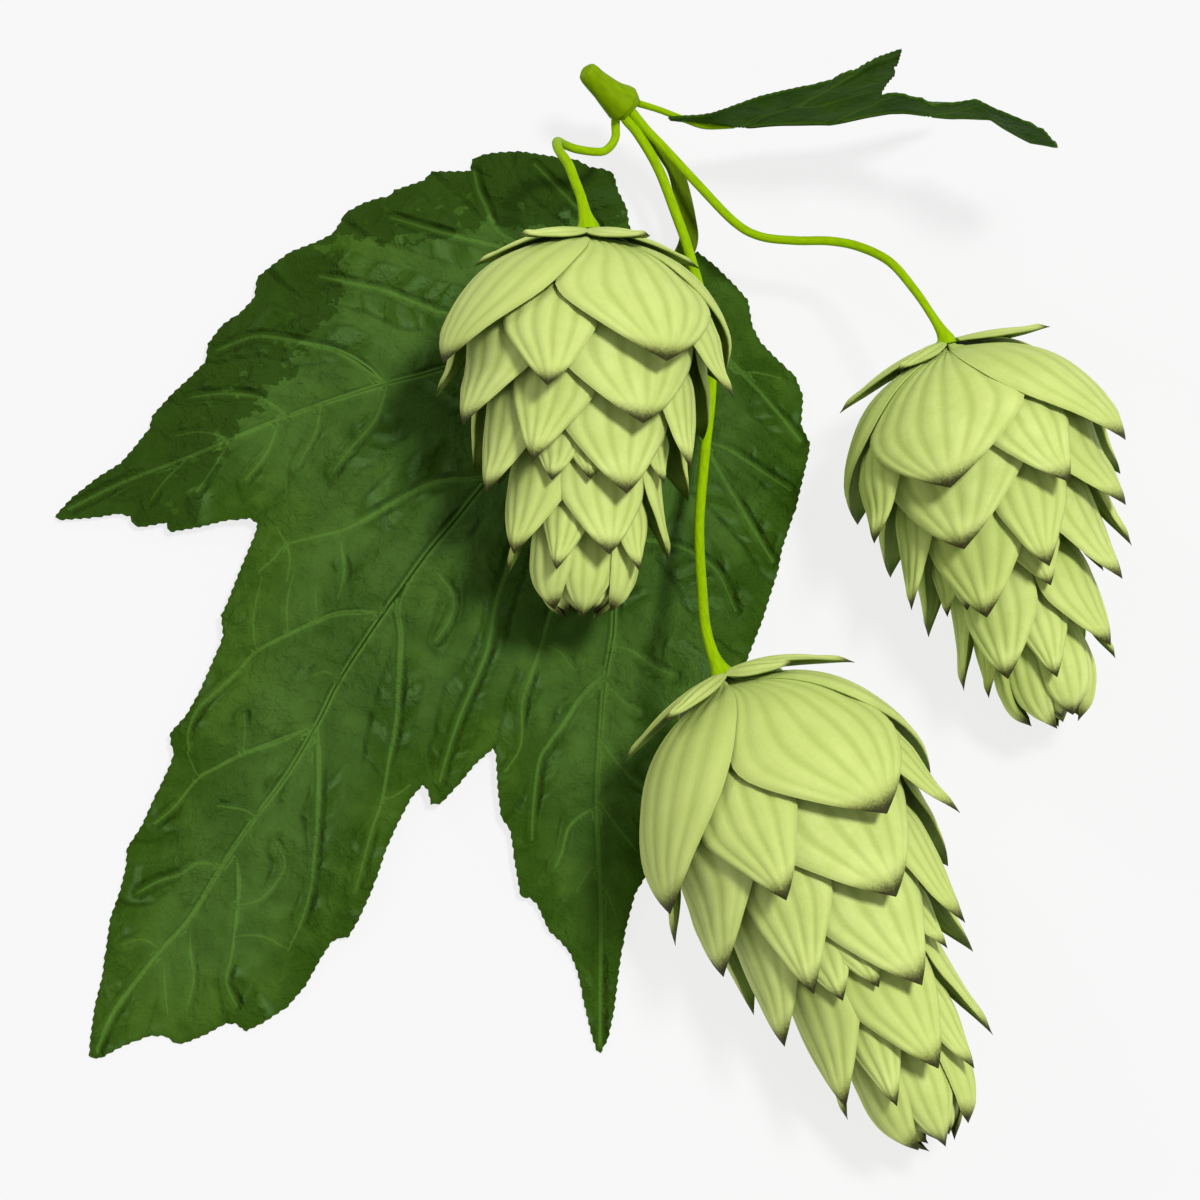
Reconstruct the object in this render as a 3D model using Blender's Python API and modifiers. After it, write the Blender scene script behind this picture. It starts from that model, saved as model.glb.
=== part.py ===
"""Hop bine laid on a table: three ripe cones, a large and a small leaf, and their stalks on a stub of bine.

Every cone is modelled hanging from its stalk along its own -Z, with +X on the side that is seen from above.
"""

import math
from collections import namedtuple

import bmesh
import bpy
from mathutils import Matrix, Vector

MM = 0.001
OBJECT_NAME = "hop_bine"

WELD_DISTANCE = 0.01 * MM

# Driving sizes of the plant, in millimetres
BRACT_THICKNESS = 0.5
LEAF_THICKNESS = 0.5
JOINT_GAP = 0.3
STRIG_RADIUS_TOP = 2.0
STRIG_RADIUS_END = 1.1
STRIG_END = 0.93  # share of the cone's length
STRIG_SIDES = 10
STRIG_TURN = math.radians(5.0)  # keeps the rod's edges off the bracts' middles

# Bracts: a wide one starts clear of the strig, and a narrow one starts inside it and is fused with it
WIDE_FOOT = JOINT_GAP + BRACT_THICKNESS
NARROW_FOOT = -0.6
TIER_PITCH = 1.3  # from one layer of bracts to the next
MARGIN_DROP = 0.4  # the side edges lie this much lower than the middle
MARGIN_POWER = 2.5
FLARE_START = 0.6  # share of the bract's length from which its tip turns outwards
WIDE_CELLS = 4
WIDE_ROWS = 4
NARROW_ROWS = 3

# The side of the bunch that is seen from above leans a little towards -Y
SEEN_FROM = Vector((0.0, -0.26, 0.966))

# Half-width of a cone along its length, as shares of its largest radius and of its length
CONE_PROFILE = (
    (0.0, 0.45),
    (0.05, 0.60),
    (0.10, 0.74),
    (0.15, 0.84),
    (0.20, 0.91),
    (0.30, 1.0),
    (0.40, 0.96),
    (0.50, 0.86),
    (0.60, 0.78),
    (0.70, 0.69),
    (0.80, 0.59),
    (0.90, 0.46),
    (0.95, 0.34),
    (1.0, 0.16),
)

# Half-width of a bract from its base to its tip: a kite with rounded shoulders
BRACT_OUTLINE = ((0.0, 0.75), (0.25, 0.92), (0.5, 1.0), (0.75, 0.66), (1.0, 0.0))

# The layer that shows at each share of a cone's length, counted inwards from the outermost tier
LAYER_SHOWN = (
    (0.0, -1.6),
    (0.12, 0.0),
    (0.36, 0.0),
    (0.42, 1.0),
    (0.505, 2.0),
    (0.59, 3.0),
    (0.67, 4.0),
    (0.75, 5.0),
    (0.83, 6.0),
    (0.87, 7.0),
    (0.985, 8.0),
    (1.0, 8.3),
)

# Base, tip and ramp off the strig are shares of the cone's length. The half-angle and the columns round the
# cone are in degrees, and the outward flare of the tip in millimetres
Tier = namedtuple("Tier", "layer base tip ramp half flare columns")
WIDE_TIERS = (
    Tier(0, 0.02, 0.36, 0.12, 41, 0.2, (-72, 36, 120, 204)),
    Tier(2, 0.15, 0.505, 0.2, 37, 0.2, (-74, 26, 114, 203)),
    Tier(4, 0.32, 0.67, 0.2, 34, 0.2, (-72, 24, 112, 202)),
    Tier(6, 0.5, 0.83, 0.2, 33, 0.2, (-58, 19, 110, 202)),
)
NARROW_TIERS = (
    Tier(1, 0.09, 0.42, 0.2, 21, 1.0, (-16, 88, 168, 250)),
    Tier(3, 0.26, 0.59, 0.2, 20, 0.3, (-24, 76, 158, 248)),
    Tier(7, 0.6, 0.87, 0.2, 20, 0.2, (-19, 48, 150, 240)),
    Tier(8, 0.68, 0.985, 0.2, 34, 0.0, (-41, 35, 125, 215)),
)
NARROW_CELLS = (2, 2, 2, 3)  # faces across a bract of each narrow tier

# Slender bracts that stand off the shoulder under the stalk: column in degrees and droop of the tip. The
# two on the seen side stay nearly level
HAT = ((-88, 4.4), (-30, 1.3), (30, 1.3), (88, 4.4), (150, 4.4), (-150, 4.4))
HAT_FOOT = STRIG_RADIUS_TOP - 0.8  # inside the strig
HAT_REACH = 13.8
HAT_HALF_WIDTH = 2.2
HAT_BASE_SHARE = 0.02  # how far along its swell the foot starts
HAT_HEIGHT = 0.35
HAT_CURVE = 2.2
HAT_CELLS = 2
HAT_ROWS = 3

CONES = (
    {"name": "cone_1", "top": (0.6, 43.4, 24.6), "tip": (-0.3, -3.0, 14.7), "radius": 17.6, "roll": 0},
    {"name": "cone_2", "top": (43.3, 30.9, 19.6), "tip": (57.5, -14.7, 9.5), "radius": 17.0, "roll": 50},
    {"name": "cone_3", "top": (16.1, -10.8, 22.4), "tip": (42.4, -65.4, 9.4), "radius": 18.3, "roll": 0},
)

# Stalks: points of the centre line and radius at each, in millimetres
STALK_STEPS = 2
STALK_SIDES = 1
STUB_SIDES = 3
STUB_POINTS = (
    (0.4, 66.5, 14.8, 0.7),
    (0.7, 66.3, 14.4, 1.2),
    (1.5, 65.7, 13.7, 1.3),
    (2.6, 65.0, 12.8, 1.45),
    (3.7, 64.3, 11.9, 1.85),
    (4.5, 63.9, 11.3, 2.2),
    (4.9, 63.7, 10.9, 2.1),
)
PEDICEL_1_POINTS = (
    (3.7, 62.5, 9.6, 0.45),
    (4.0, 60.2, 8.9, 0.45),
    (3.3, 59.1, 8.8, 0.45),
    (2.1, 58.4, 9.0, 0.46),
    (-0.6, 58.1, 10.4, 0.48),
    (-2.2, 58.0, 12.0, 0.5),
    (-3.2, 57.4, 15.0, 0.52),
    (-3.0, 54.6, 20.0, 0.55),
    (-1.8, 51.8, 22.7, 0.58),
    (-1.0, 49.3, 23.7, 0.62),
    (-0.2, 47.2, 24.3, 0.7),
    (0.2, 45.6, 24.6, 0.85),
    (0.4, 44.3, 24.8, 1.3),
)
PEDICEL_2_POINTS = (
    (5.9, 63.3, 10.8, 0.5),
    (8.1, 60.8, 10.0, 0.5),
    (10.2, 58.7, 10.0, 0.5),
    (14.3, 53.7, 10.6, 0.5),
    (18.4, 48.4, 11.6, 0.52),
    (21.5, 46.2, 12.2, 0.53),
    (25.7, 45.4, 13.0, 0.54),
    (29.9, 45.0, 14.0, 0.55),
    (33.5, 43.9, 15.0, 0.56),
    (37.0, 41.2, 17.3, 0.58),
    (39.8, 37.1, 19.0, 0.62),
    (41.8, 33.6, 19.7, 0.8),
    (42.8, 31.9, 19.9, 1.25),
)
PEDICEL_3_POINTS = (
    (4.7, 62.3, 10.5, 0.55),
    (6.7, 60.1, 10.0, 0.55),
    (9.1, 56.0, 8.8, 0.55),
    (11.4, 50.1, 7.5, 0.55),
    (12.7, 46.3, 7.0, 0.56),
    (14.8, 38.6, 6.5, 0.58),
    (15.6, 29.5, 7.2, 0.6),
    (14.6, 18.7, 9.2, 0.62),
    (13.9, 9.1, 12.2, 0.64),
    (14.3, -1.1, 17.6, 0.68),
    (15.1, -7.3, 21.5, 0.9),
    (15.7, -9.5, 22.6, 1.35),
)
PETIOLE_SMALL_POINTS = (
    (6.1, 64.3, 10.1, 0.35),
    (9.3, 62.7, 11.6, 0.35),
    (12.5, 60.9, 13.0, 0.35),
    (14.9, 59.9, 13.6, 0.35),
    (16.8, 59.7, 14.1, 0.35),
)
PETIOLE_LARGE_POINTS = (
    (5.3, 63.1, 9.6, 0.5),
    (8.4, 60.1, 7.9, 0.7),
    (10.0, 58.2, 7.0, 0.95),
    (11.3, 56.2, 6.2, 1.15),
    (12.5, 51.0, 4.9, 1.25),
    (12.6, 47.7, 4.5, 1.3),
    (10.6, 44.4, 4.4, 1.0),
)
PETIOLE_FLATNESS = 0.5
PETIOLE_CORNERS = 8
PETIOLE_STEPS = 3

# Large leaf: rim seen from above in millimetres, from the upper lobe round by the left and lower lobes
LEAF_LARGE_RIM = (
    (-12.7, 61.0),
    (-19.1, 58.6),
    (-29.6, 53.4),
    (-40.4, 44.8),
    (-46.2, 36.0),
    (-53.2, 25.3),
    (-64.6, 14.1),
    (-56.4, 14.7),
    (-50.5, 12.1),
    (-40.0, 13.8),
    (-41.8, 6.6),
    (-45.9, -4.1),
    (-49.7, -13.8),
    (-54.8, -27.6),
    (-57.1, -38.0),
    (-58.8, -52.9),
    (-54.1, -51.0),
    (-48.1, -51.1),
    (-41.2, -48.6),
    (-33.9, -44.7),
    (-30.0, -38.7),
    (-24.9, -31.4),
    (-19.9, -19.9),
    (-18.2, -22.1),
    (-13.9, -18.1),
    (-10.8, -15.2),
    (-10.0, -21.6),
    (-7.1, -33.0),
    (-4.0, -36.9),
    (0.1, -44.7),
    (2.0, -52.2),
    (4.6, -42.3),
    (6.8, -32.0),
    (12.8, -22.8),
    (19.6, -4.4),
    (24.1, 9.1),
    (27.5, 23.7),
    (26.9, 31.4),
    (22.7, 36.3),
    (20.0, 42.1),
    (14.0, 48.1),
    (9.2, 43.5),
    (6.9, 46.4),
    (5.6, 51.8),
    (3.9, 58.3),
    (-1.0, 60.4),
)
LEAF_LARGE_CENTRE = (-15.0, 7.0)
LEAF_LARGE_RISE = 3.4
LEAF_LARGE_SPREAD = 60.0
LEAF_LARGE_CROWN = 0.9  # below 1 rounds the top of the dome
LEAF_GRID_STEP = 11.0
LEAF_GRID_MARGIN = 2.0
LEAF_CUTTER_REACH = 20.0

# Small leaf: rim along its midrib (X) and across it, with its own droop along the midrib
LEAF_SMALL_BASE = (18.3, 59.6, 14.5)
LEAF_SMALL_ALONG = (0.966, -0.085, 0.25)
LEAF_SMALL_LEAN = 5.0  # degrees from the seen side
LEAF_SMALL_FOLD = 0.27  # fall on each side of the midrib, per millimetre of width
LEAF_SMALL_HALF_RIM = (
    (-0.3, 0.0),
    (-4.5, 0.9),
    (-7.6, 1.2),
    (-5.4, 2.4),
    (0.2, 4.6),
    (8.0, 8.5),
    (12.7, 11.8),
    (18.3, 14.8),
    (26.0, 17.0),
    (23.4, 9.8),
    (20.4, 5.2),
    (25.2, 4.8),
    (32.4, 5.4),
    (38.0, 3.6),
)
LEAF_SMALL_TIP = (41.6, 0.0)
LEAF_SMALL_LOWER_SHARE = 0.86
LEAF_SMALL_BEND = (
    (-10.0, 0.0),
    (13.0, 0.0),
    (21.0, -1.2),
    (27.0, -0.4),
    (32.0, -0.2),
    (38.0, 2.4),
    (44.0, 3.6),
)


def along(table, x):
    """Value at x of a curve given by straight runs between (x, value) points."""
    if x <= table[0][0]:
        return table[0][1]
    for (x0, y0), (x1, y1) in zip(table, table[1:]):
        if x <= x1:
            return y0 + (y1 - y0) * (x - x0) / (x1 - x0)
    return table[-1][1]


def material(name, colour, roughness):
    made = bpy.data.materials.new(name)
    made.use_nodes = True
    shader = made.node_tree.nodes["Principled BSDF"]
    shader.inputs["Base Color"].default_value = (*colour, 1.0)
    shader.inputs["Roughness"].default_value = roughness
    shader.inputs["Metallic"].default_value = 0.0
    return made


def collection(name):
    made = bpy.data.collections.new(name)
    bpy.context.scene.collection.children.link(made)
    return made


def add_object(name, mesh, group, finish=None, parent=None):
    made = bpy.data.objects.new(name, mesh)
    group.objects.link(made)
    made.parent = parent
    if finish is not None and not mesh.materials:
        mesh.materials.append(finish)
    return made


def grid_mesh(name, columns, rows, place):
    """A grid primitive whose corners are moved to place(u, s): u from -1 to 1, s from 0 at +Y to 1 at -Y."""
    shape = bmesh.new()
    bmesh.ops.create_grid(shape, x_segments=columns, y_segments=rows, size=1.0)
    for vertex in shape.verts:
        vertex.co = place(vertex.co.x, (1.0 - vertex.co.y) / 2.0) * MM
    bmesh.ops.remove_doubles(shape, verts=shape.verts, dist=WELD_DISTANCE)
    mesh = bpy.data.meshes.new(name)
    shape.to_mesh(mesh)
    shape.free()
    return mesh


def thicken(item, thickness, offset):
    solidify = item.modifiers.new("thickness", "SOLIDIFY")
    solidify.thickness = thickness * MM
    solidify.offset = offset
    return solidify


# Cones: bracts in overlapping tiers on a thin strig


def strig_radius(share):
    return STRIG_RADIUS_TOP + (STRIG_RADIUS_END - STRIG_RADIUS_TOP) * min(1.0, share / STRIG_END)


def cone_length(cone):
    return (Vector(cone["tip"]) - Vector(cone["top"])).length


def bract_place(cone, tier, foot):
    """Place of a bract's outer face: it leaves the strig, follows the cone's profile and ends in a point."""
    length = cone_length(cone)

    def place(u, s):
        share = tier.base + (tier.tip - tier.base) * s
        rise = min(1.0, (share - tier.base) / tier.ramp)
        depth = TIER_PITCH * (tier.layer - along(LAYER_SHOWN, share))
        start = strig_radius(share) + foot
        reach = cone["radius"] * along(CONE_PROFILE, share) - depth - start
        radius = start + reach * math.sqrt(1.0 - (1.0 - rise) ** 2)
        radius += tier.flare * max(0.0, (s - FLARE_START) / (1.0 - FLARE_START)) ** 2
        radius -= MARGIN_DROP * rise * abs(u) ** MARGIN_POWER
        angle = math.radians(tier.half) * along(BRACT_OUTLINE, s) * u
        return Vector((radius * math.cos(angle), radius * math.sin(angle), -share * length))

    return place


def hat_place(droop):
    """Place on a slender bract: an arc out over the shoulder, widest in the middle."""

    def place(u, s):
        reach = HAT_FOOT + (HAT_REACH - HAT_FOOT) * s
        width = HAT_HALF_WIDTH * math.sin(math.pi * (HAT_BASE_SHARE + (1.0 - HAT_BASE_SHARE) * s))
        return Vector((reach, u * width, HAT_HEIGHT - droop * (reach / HAT_REACH) ** HAT_CURVE))

    return place


def bract(name, mesh, column, group, hub, finish):
    item = add_object(name, mesh, group, finish, hub)
    item.rotation_euler.z = math.radians(column)
    thicken(item, BRACT_THICKNESS, -1.0)
    return item


def cone_hub(cone, group):
    """Empty at the cone's top: +Z towards the stalk, +X towards the seen side, turned by the cone's roll."""
    top = Vector(cone["top"]) * MM
    up = (top - Vector(cone["tip"]) * MM).normalized()
    front = (SEEN_FROM - up * SEEN_FROM.dot(up)).normalized()
    right = up.cross(front)
    frame = Matrix((front, right, up)).transposed().to_4x4()
    hub = bpy.data.objects.new(cone["name"] + "_hub", None)
    group.objects.link(hub)
    hub.matrix_world = Matrix.Translation(top) @ frame
    return hub


def strig(cone, hub, group, finish):
    """The cone's thin core: a tapered rod along -Z."""
    length = cone_length(cone) * STRIG_END * MM
    shape = bmesh.new()
    bmesh.ops.create_cone(
        shape,
        cap_ends=True,
        segments=STRIG_SIDES,
        radius1=STRIG_RADIUS_END * MM,
        radius2=STRIG_RADIUS_TOP * MM,
        depth=length,
        matrix=Matrix.Translation((0.0, 0.0, -length / 2.0)) @ Matrix.Rotation(STRIG_TURN, 4, "Z"),
    )
    mesh = bpy.data.meshes.new(cone["name"] + "_strig")
    shape.to_mesh(mesh)
    shape.free()
    return add_object(cone["name"] + "_strig", mesh, group, finish, hub)


def join(body, other):
    """Fuse a helper with a body, so that both are one solid."""
    other.hide_render = True
    other.display_type = "WIRE"
    union = body.modifiers.new(other.name, "BOOLEAN")
    union.operation = "UNION"
    union.solver = "EXACT"
    union.object = other


def make_cone(cone, group, helpers, finish):
    """Wide bracts are pieces of their own. Narrow ones and the hat are fused with the strig."""
    name = cone["name"]
    roll = cone["roll"]
    hub = cone_hub(cone, group)
    for number, tier in enumerate(WIDE_TIERS, start=1):
        label = f"{name}_tier_{number}"
        mesh = grid_mesh(label, WIDE_CELLS, WIDE_ROWS, bract_place(cone, tier, WIDE_FOOT))
        for place, column in enumerate(tier.columns, start=1):
            bract(f"{label}_bract_{place}", mesh, column + roll, group, hub, finish)
    core = strig(cone, hub, group, finish)
    for number, (tier, cells) in enumerate(zip(NARROW_TIERS, NARROW_CELLS), start=1):
        label = f"{name}_narrow_{number}"
        mesh = grid_mesh(label, cells, NARROW_ROWS, bract_place(cone, tier, NARROW_FOOT))
        for place, column in enumerate(tier.columns, start=1):
            join(core, bract(f"{label}_{place}", mesh, column + roll, helpers, hub, finish))
    for number, (column, droop) in enumerate(HAT, start=1):
        label = f"{name}_hat_{number}"
        mesh = grid_mesh(label, HAT_CELLS, HAT_ROWS, hat_place(droop))
        join(core, bract(label, mesh, column, helpers, hub, finish))


# Stalks: tapered tubes on smooth curves


def stalk_curve(name, points, group, steps, sides):
    curve = bpy.data.curves.new(name, "CURVE")
    curve.dimensions = "3D"
    curve.resolution_u = steps
    curve.bevel_depth = MM
    curve.bevel_resolution = sides
    curve.use_fill_caps = True
    spline = curve.splines.new("BEZIER")
    spline.bezier_points.add(len(points) - 1)
    for knot, (x, y, z, radius) in zip(spline.bezier_points, points):
        knot.co = Vector((x, y, z)) * MM
        knot.radius = radius
        knot.handle_left_type = "AUTO"
        knot.handle_right_type = "AUTO"
    item = bpy.data.objects.new(name, curve)
    group.objects.link(item)
    return item


def stalk(name, points, group, finish, sides=STALK_SIDES):
    item = stalk_curve(name, points, group, STALK_STEPS, sides)
    item.data.materials.append(finish)
    return item


def strap_stalk(name, points, group, helpers, finish):
    """A flattened stalk: its curve carries an oval profile."""
    profile = bpy.data.curves.new(name + "_profile", "CURVE")
    profile.dimensions = "2D"
    oval = profile.splines.new("POLY")
    oval.points.add(PETIOLE_CORNERS - 1)
    for index, knot in enumerate(oval.points):
        turn = -2.0 * math.pi * index / PETIOLE_CORNERS
        knot.co = (math.cos(turn) * MM, PETIOLE_FLATNESS * math.sin(turn) * MM, 0.0, 1.0)
    oval.use_cyclic_u = True
    guide = bpy.data.objects.new(name + "_profile", profile)
    guide.hide_render = True
    guide.display_type = "WIRE"
    helpers.objects.link(guide)
    item = stalk_curve(name, points, group, PETIOLE_STEPS, 0)
    item.data.bevel_mode = "OBJECT"
    item.data.bevel_object = guide
    item.data.twist_mode = "Z_UP"
    item.data.materials.append(finish)
    return item


# Leaves: a bowed sheet trimmed to the leaf's rim


def rim_cutter(name, rim, helpers, parent):
    """Upright prism with the leaf's rim as its outline."""
    curve = bpy.data.curves.new(name, "CURVE")
    curve.dimensions = "2D"
    curve.fill_mode = "BOTH"
    curve.extrude = LEAF_CUTTER_REACH * MM
    outline = curve.splines.new("POLY")
    outline.points.add(len(rim) - 1)
    for knot, (x, y) in zip(outline.points, rim):
        knot.co = (x * MM, y * MM, 0.0, 1.0)
    outline.use_cyclic_u = True
    flat = bpy.data.objects.new(name + "_outline", curve)
    helpers.objects.link(flat)
    bpy.context.view_layer.update()
    mesh = bpy.data.meshes.new_from_object(flat.evaluated_get(bpy.context.evaluated_depsgraph_get()))
    bpy.data.objects.remove(flat)
    shape = bmesh.new()
    shape.from_mesh(mesh)
    bmesh.ops.remove_doubles(shape, verts=shape.verts, dist=WELD_DISTANCE)
    bmesh.ops.recalc_face_normals(shape, faces=shape.faces)
    shape.to_mesh(mesh)
    shape.free()
    mesh.materials.clear()
    cutter = add_object(name, mesh, helpers, parent=parent)
    cutter.hide_render = True
    cutter.display_type = "WIRE"
    return cutter


def leaf(name, rim, height, group, helpers, finish, parent=None):
    """Sheet over the rim's box, bowed by height(x, y), thickened and trimmed to the rim."""
    margin = Vector((LEAF_GRID_MARGIN, LEAF_GRID_MARGIN))
    low = Vector((min(x for x, y in rim), min(y for x, y in rim))) - margin
    high = Vector((max(x for x, y in rim), max(y for x, y in rim))) + margin
    step = min(LEAF_GRID_STEP, (high.y - low.y) / 4.0)
    columns = math.ceil((high.x - low.x) / step)
    rows = math.ceil((high.y - low.y) / step)

    def place(u, s):
        x = low.x + (high.x - low.x) * (u + 1.0) / 2.0
        y = high.y - (high.y - low.y) * s
        return Vector((x, y, height(x, y)))

    sheet = add_object(name, grid_mesh(name, columns, rows, place), group, finish, parent)
    thicken(sheet, LEAF_THICKNESS, 1.0)
    trim = sheet.modifiers.new("rim", "BOOLEAN")
    trim.operation = "INTERSECT"
    trim.solver = "EXACT"
    trim.object = rim_cutter(name + "_rim", rim, helpers, parent)
    return sheet


def large_leaf_height(x, y):
    """Low dome: the blade is highest under its veins' meeting and rests on the points of its lobes."""
    away = math.hypot(x - LEAF_LARGE_CENTRE[0], y - LEAF_LARGE_CENTRE[1]) / LEAF_LARGE_SPREAD
    return LEAF_LARGE_RISE * max(0.0, 1.0 - away) ** LEAF_LARGE_CROWN


def small_leaf_height(x, y):
    return along(LEAF_SMALL_BEND, x) - LEAF_SMALL_FOLD * abs(y)


def small_leaf_hub(group):
    """Empty at the small leaf's base: X along the midrib, Y across towards the seen side."""
    forward = Vector(LEAF_SMALL_ALONG).normalized()
    seen = SEEN_FROM.normalized()
    sky = Vector((1.0, 0.0, 0.0)).cross(-seen)
    lean = math.radians(LEAF_SMALL_LEAN)
    across = seen * math.cos(lean) + sky * math.sin(lean)
    across = (across - forward * across.dot(forward)).normalized()
    frame = Matrix((forward, across, forward.cross(across))).transposed().to_4x4()
    hub = bpy.data.objects.new("leaf_small_hub", None)
    group.objects.link(hub)
    hub.matrix_world = Matrix.Translation(Vector(LEAF_SMALL_BASE) * MM) @ frame
    return hub


def small_leaf_rim():
    upper = list(LEAF_SMALL_HALF_RIM)
    lower = [(x, -y * LEAF_SMALL_LOWER_SHARE) for x, y in reversed(upper[1:])]
    return upper + [LEAF_SMALL_TIP] + lower


def clear_scene():
    for item in list(bpy.data.objects):
        bpy.data.objects.remove(item, do_unlink=True)


def build():
    clear_scene()
    group = collection(OBJECT_NAME)
    helpers = collection("cutters")
    bract_finish = material("bract_green", (0.55, 0.66, 0.2), 0.65)
    stalk_finish = material("stalk_lime", (0.35, 0.55, 0.01), 0.4)
    leaf_finish = material("leaf_green", (0.03, 0.11, 0.02), 0.55)
    for cone in CONES:
        make_cone(cone, group, helpers, bract_finish)
    stalk("bine_stub", STUB_POINTS, group, stalk_finish, STUB_SIDES)
    stalk("pedicel_1", PEDICEL_1_POINTS, group, stalk_finish)
    stalk("pedicel_2", PEDICEL_2_POINTS, group, stalk_finish)
    stalk("pedicel_3", PEDICEL_3_POINTS, group, stalk_finish)
    stalk("petiole_small", PETIOLE_SMALL_POINTS, group, stalk_finish)
    strap_stalk("petiole_large", PETIOLE_LARGE_POINTS, group, helpers, stalk_finish)
    leaf("leaf_large", LEAF_LARGE_RIM, large_leaf_height, group, helpers, leaf_finish)
    hub = small_leaf_hub(group)
    leaf("leaf_small", small_leaf_rim(), small_leaf_height, group, helpers, leaf_finish, hub)


build()
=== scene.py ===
"""Looks of the hop bine: a cut sprig with three ripe cones and two leaves, lying on a pale table.

Lengths are in millimetres.
"""

import math
from collections import namedtuple

import bpy
import numpy as np
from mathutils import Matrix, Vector
from mathutils.geometry import delaunay_2d_cdt


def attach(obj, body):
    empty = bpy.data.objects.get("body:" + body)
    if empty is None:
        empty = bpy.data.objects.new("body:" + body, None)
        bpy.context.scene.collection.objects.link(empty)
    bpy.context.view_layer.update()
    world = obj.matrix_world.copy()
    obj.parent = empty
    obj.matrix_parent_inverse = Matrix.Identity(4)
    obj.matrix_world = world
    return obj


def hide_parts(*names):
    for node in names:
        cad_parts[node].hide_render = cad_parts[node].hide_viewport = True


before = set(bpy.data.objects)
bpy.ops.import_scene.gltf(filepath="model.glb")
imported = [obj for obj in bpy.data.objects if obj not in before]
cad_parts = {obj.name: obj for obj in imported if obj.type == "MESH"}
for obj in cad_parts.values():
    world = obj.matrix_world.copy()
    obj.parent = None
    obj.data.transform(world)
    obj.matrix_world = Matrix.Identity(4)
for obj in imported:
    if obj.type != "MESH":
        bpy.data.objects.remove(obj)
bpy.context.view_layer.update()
MM = 0.001
scene = bpy.context.scene
scene.view_settings.view_transform = "Standard"


# The view: straight onto the lying sprig, leaning a little towards its lower end, from far enough away
# that the cones keep their true proportions.

VIEW_ELEVATION = math.radians(75.0)
VIEW_TARGET = np.array((2.0, 1.0, 10.0))
VIEW_DISTANCE = 700.0
LENS = 175.0
SENSOR = 36.0
PICTURE = 1200
view_forward = np.array((0.0, math.cos(VIEW_ELEVATION), -math.sin(VIEW_ELEVATION)))
view_up = np.array((0.0, math.sin(VIEW_ELEVATION), math.cos(VIEW_ELEVATION)))
view_right = np.array((1.0, 0.0, 0.0))
eye = VIEW_TARGET - view_forward * VIEW_DISTANCE

camera = bpy.data.objects.new("camera", bpy.data.cameras.new("camera"))
camera.data.lens = LENS
camera.data.sensor_width = SENSOR
camera.location = Vector(eye * MM)
camera.rotation_euler = (math.pi / 2.0 - VIEW_ELEVATION, 0.0, 0.0)
scene.collection.objects.link(camera)
scene.camera = camera


def under_pixel(px, py, height):
    """The point, in millimetres, that the camera sees at a pixel of the 1200 frame, at that height."""
    across = (px - PICTURE / 2.0) / PICTURE * SENSOR / LENS
    upward = (PICTURE / 2.0 - py) / PICTURE * SENSOR / LENS
    ray = view_forward + view_right * across + view_up * upward
    return eye + ray * (height - eye[2]) / ray[2]


# The table: a plain pale top that glows, like a light box, so that shadows on it stay faint. A broad lamp
# hangs overhead, a little to the right, a weaker one stands on the upper left, and white walls fill in.


class Wire:
    """One output of a material's nodes. A sum on it adds Math nodes to the same material."""

    def __init__(self, tree, socket=None):
        self.tree = tree
        self.socket = socket

    def node(self, kind, settings=None, inputs=None, output=0):
        """One output of a new node, made from its type, its settings and what its sockets get."""
        made = self.tree.nodes.new(kind)
        for key, value in (settings or {}).items():
            setattr(made, key, value)
        for key, value in (inputs or {}).items():
            if isinstance(value, Wire):
                self.tree.links.new(value.socket, made.inputs[key])
            else:
                made.inputs[key].default_value = value
        return Wire(self.tree, made.outputs[output])

    def math(self, operation, *values):
        return self.node("ShaderNodeMath", {"operation": operation}, dict(enumerate(values)))

    def __add__(self, other):
        return self.math("ADD", self, other)

    def __radd__(self, other):
        return self.math("ADD", other, self)

    def __sub__(self, other):
        return self.math("SUBTRACT", self, other)

    def __rsub__(self, other):
        return self.math("SUBTRACT", other, self)

    def __mul__(self, other):
        return self.math("MULTIPLY", self, other)

    def __rmul__(self, other):
        return self.math("MULTIPLY", other, self)

    def __truediv__(self, other):
        return self.math("DIVIDE", self, other)

    def __rtruediv__(self, other):
        return self.math("DIVIDE", other, self)

    def step(self, low, high):
        """Smoothly from 0 at low to 1 at high."""
        settings = {"interpolation_type": "SMOOTHSTEP"}
        return self.node("ShaderNodeMapRange", settings, {"Value": self, "From Min": low, "From Max": high})

    def fade(self, start, end):
        """Smoothly from 1 at start down to 0 at end."""
        return 1.0 - self.step(start, end)


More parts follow.
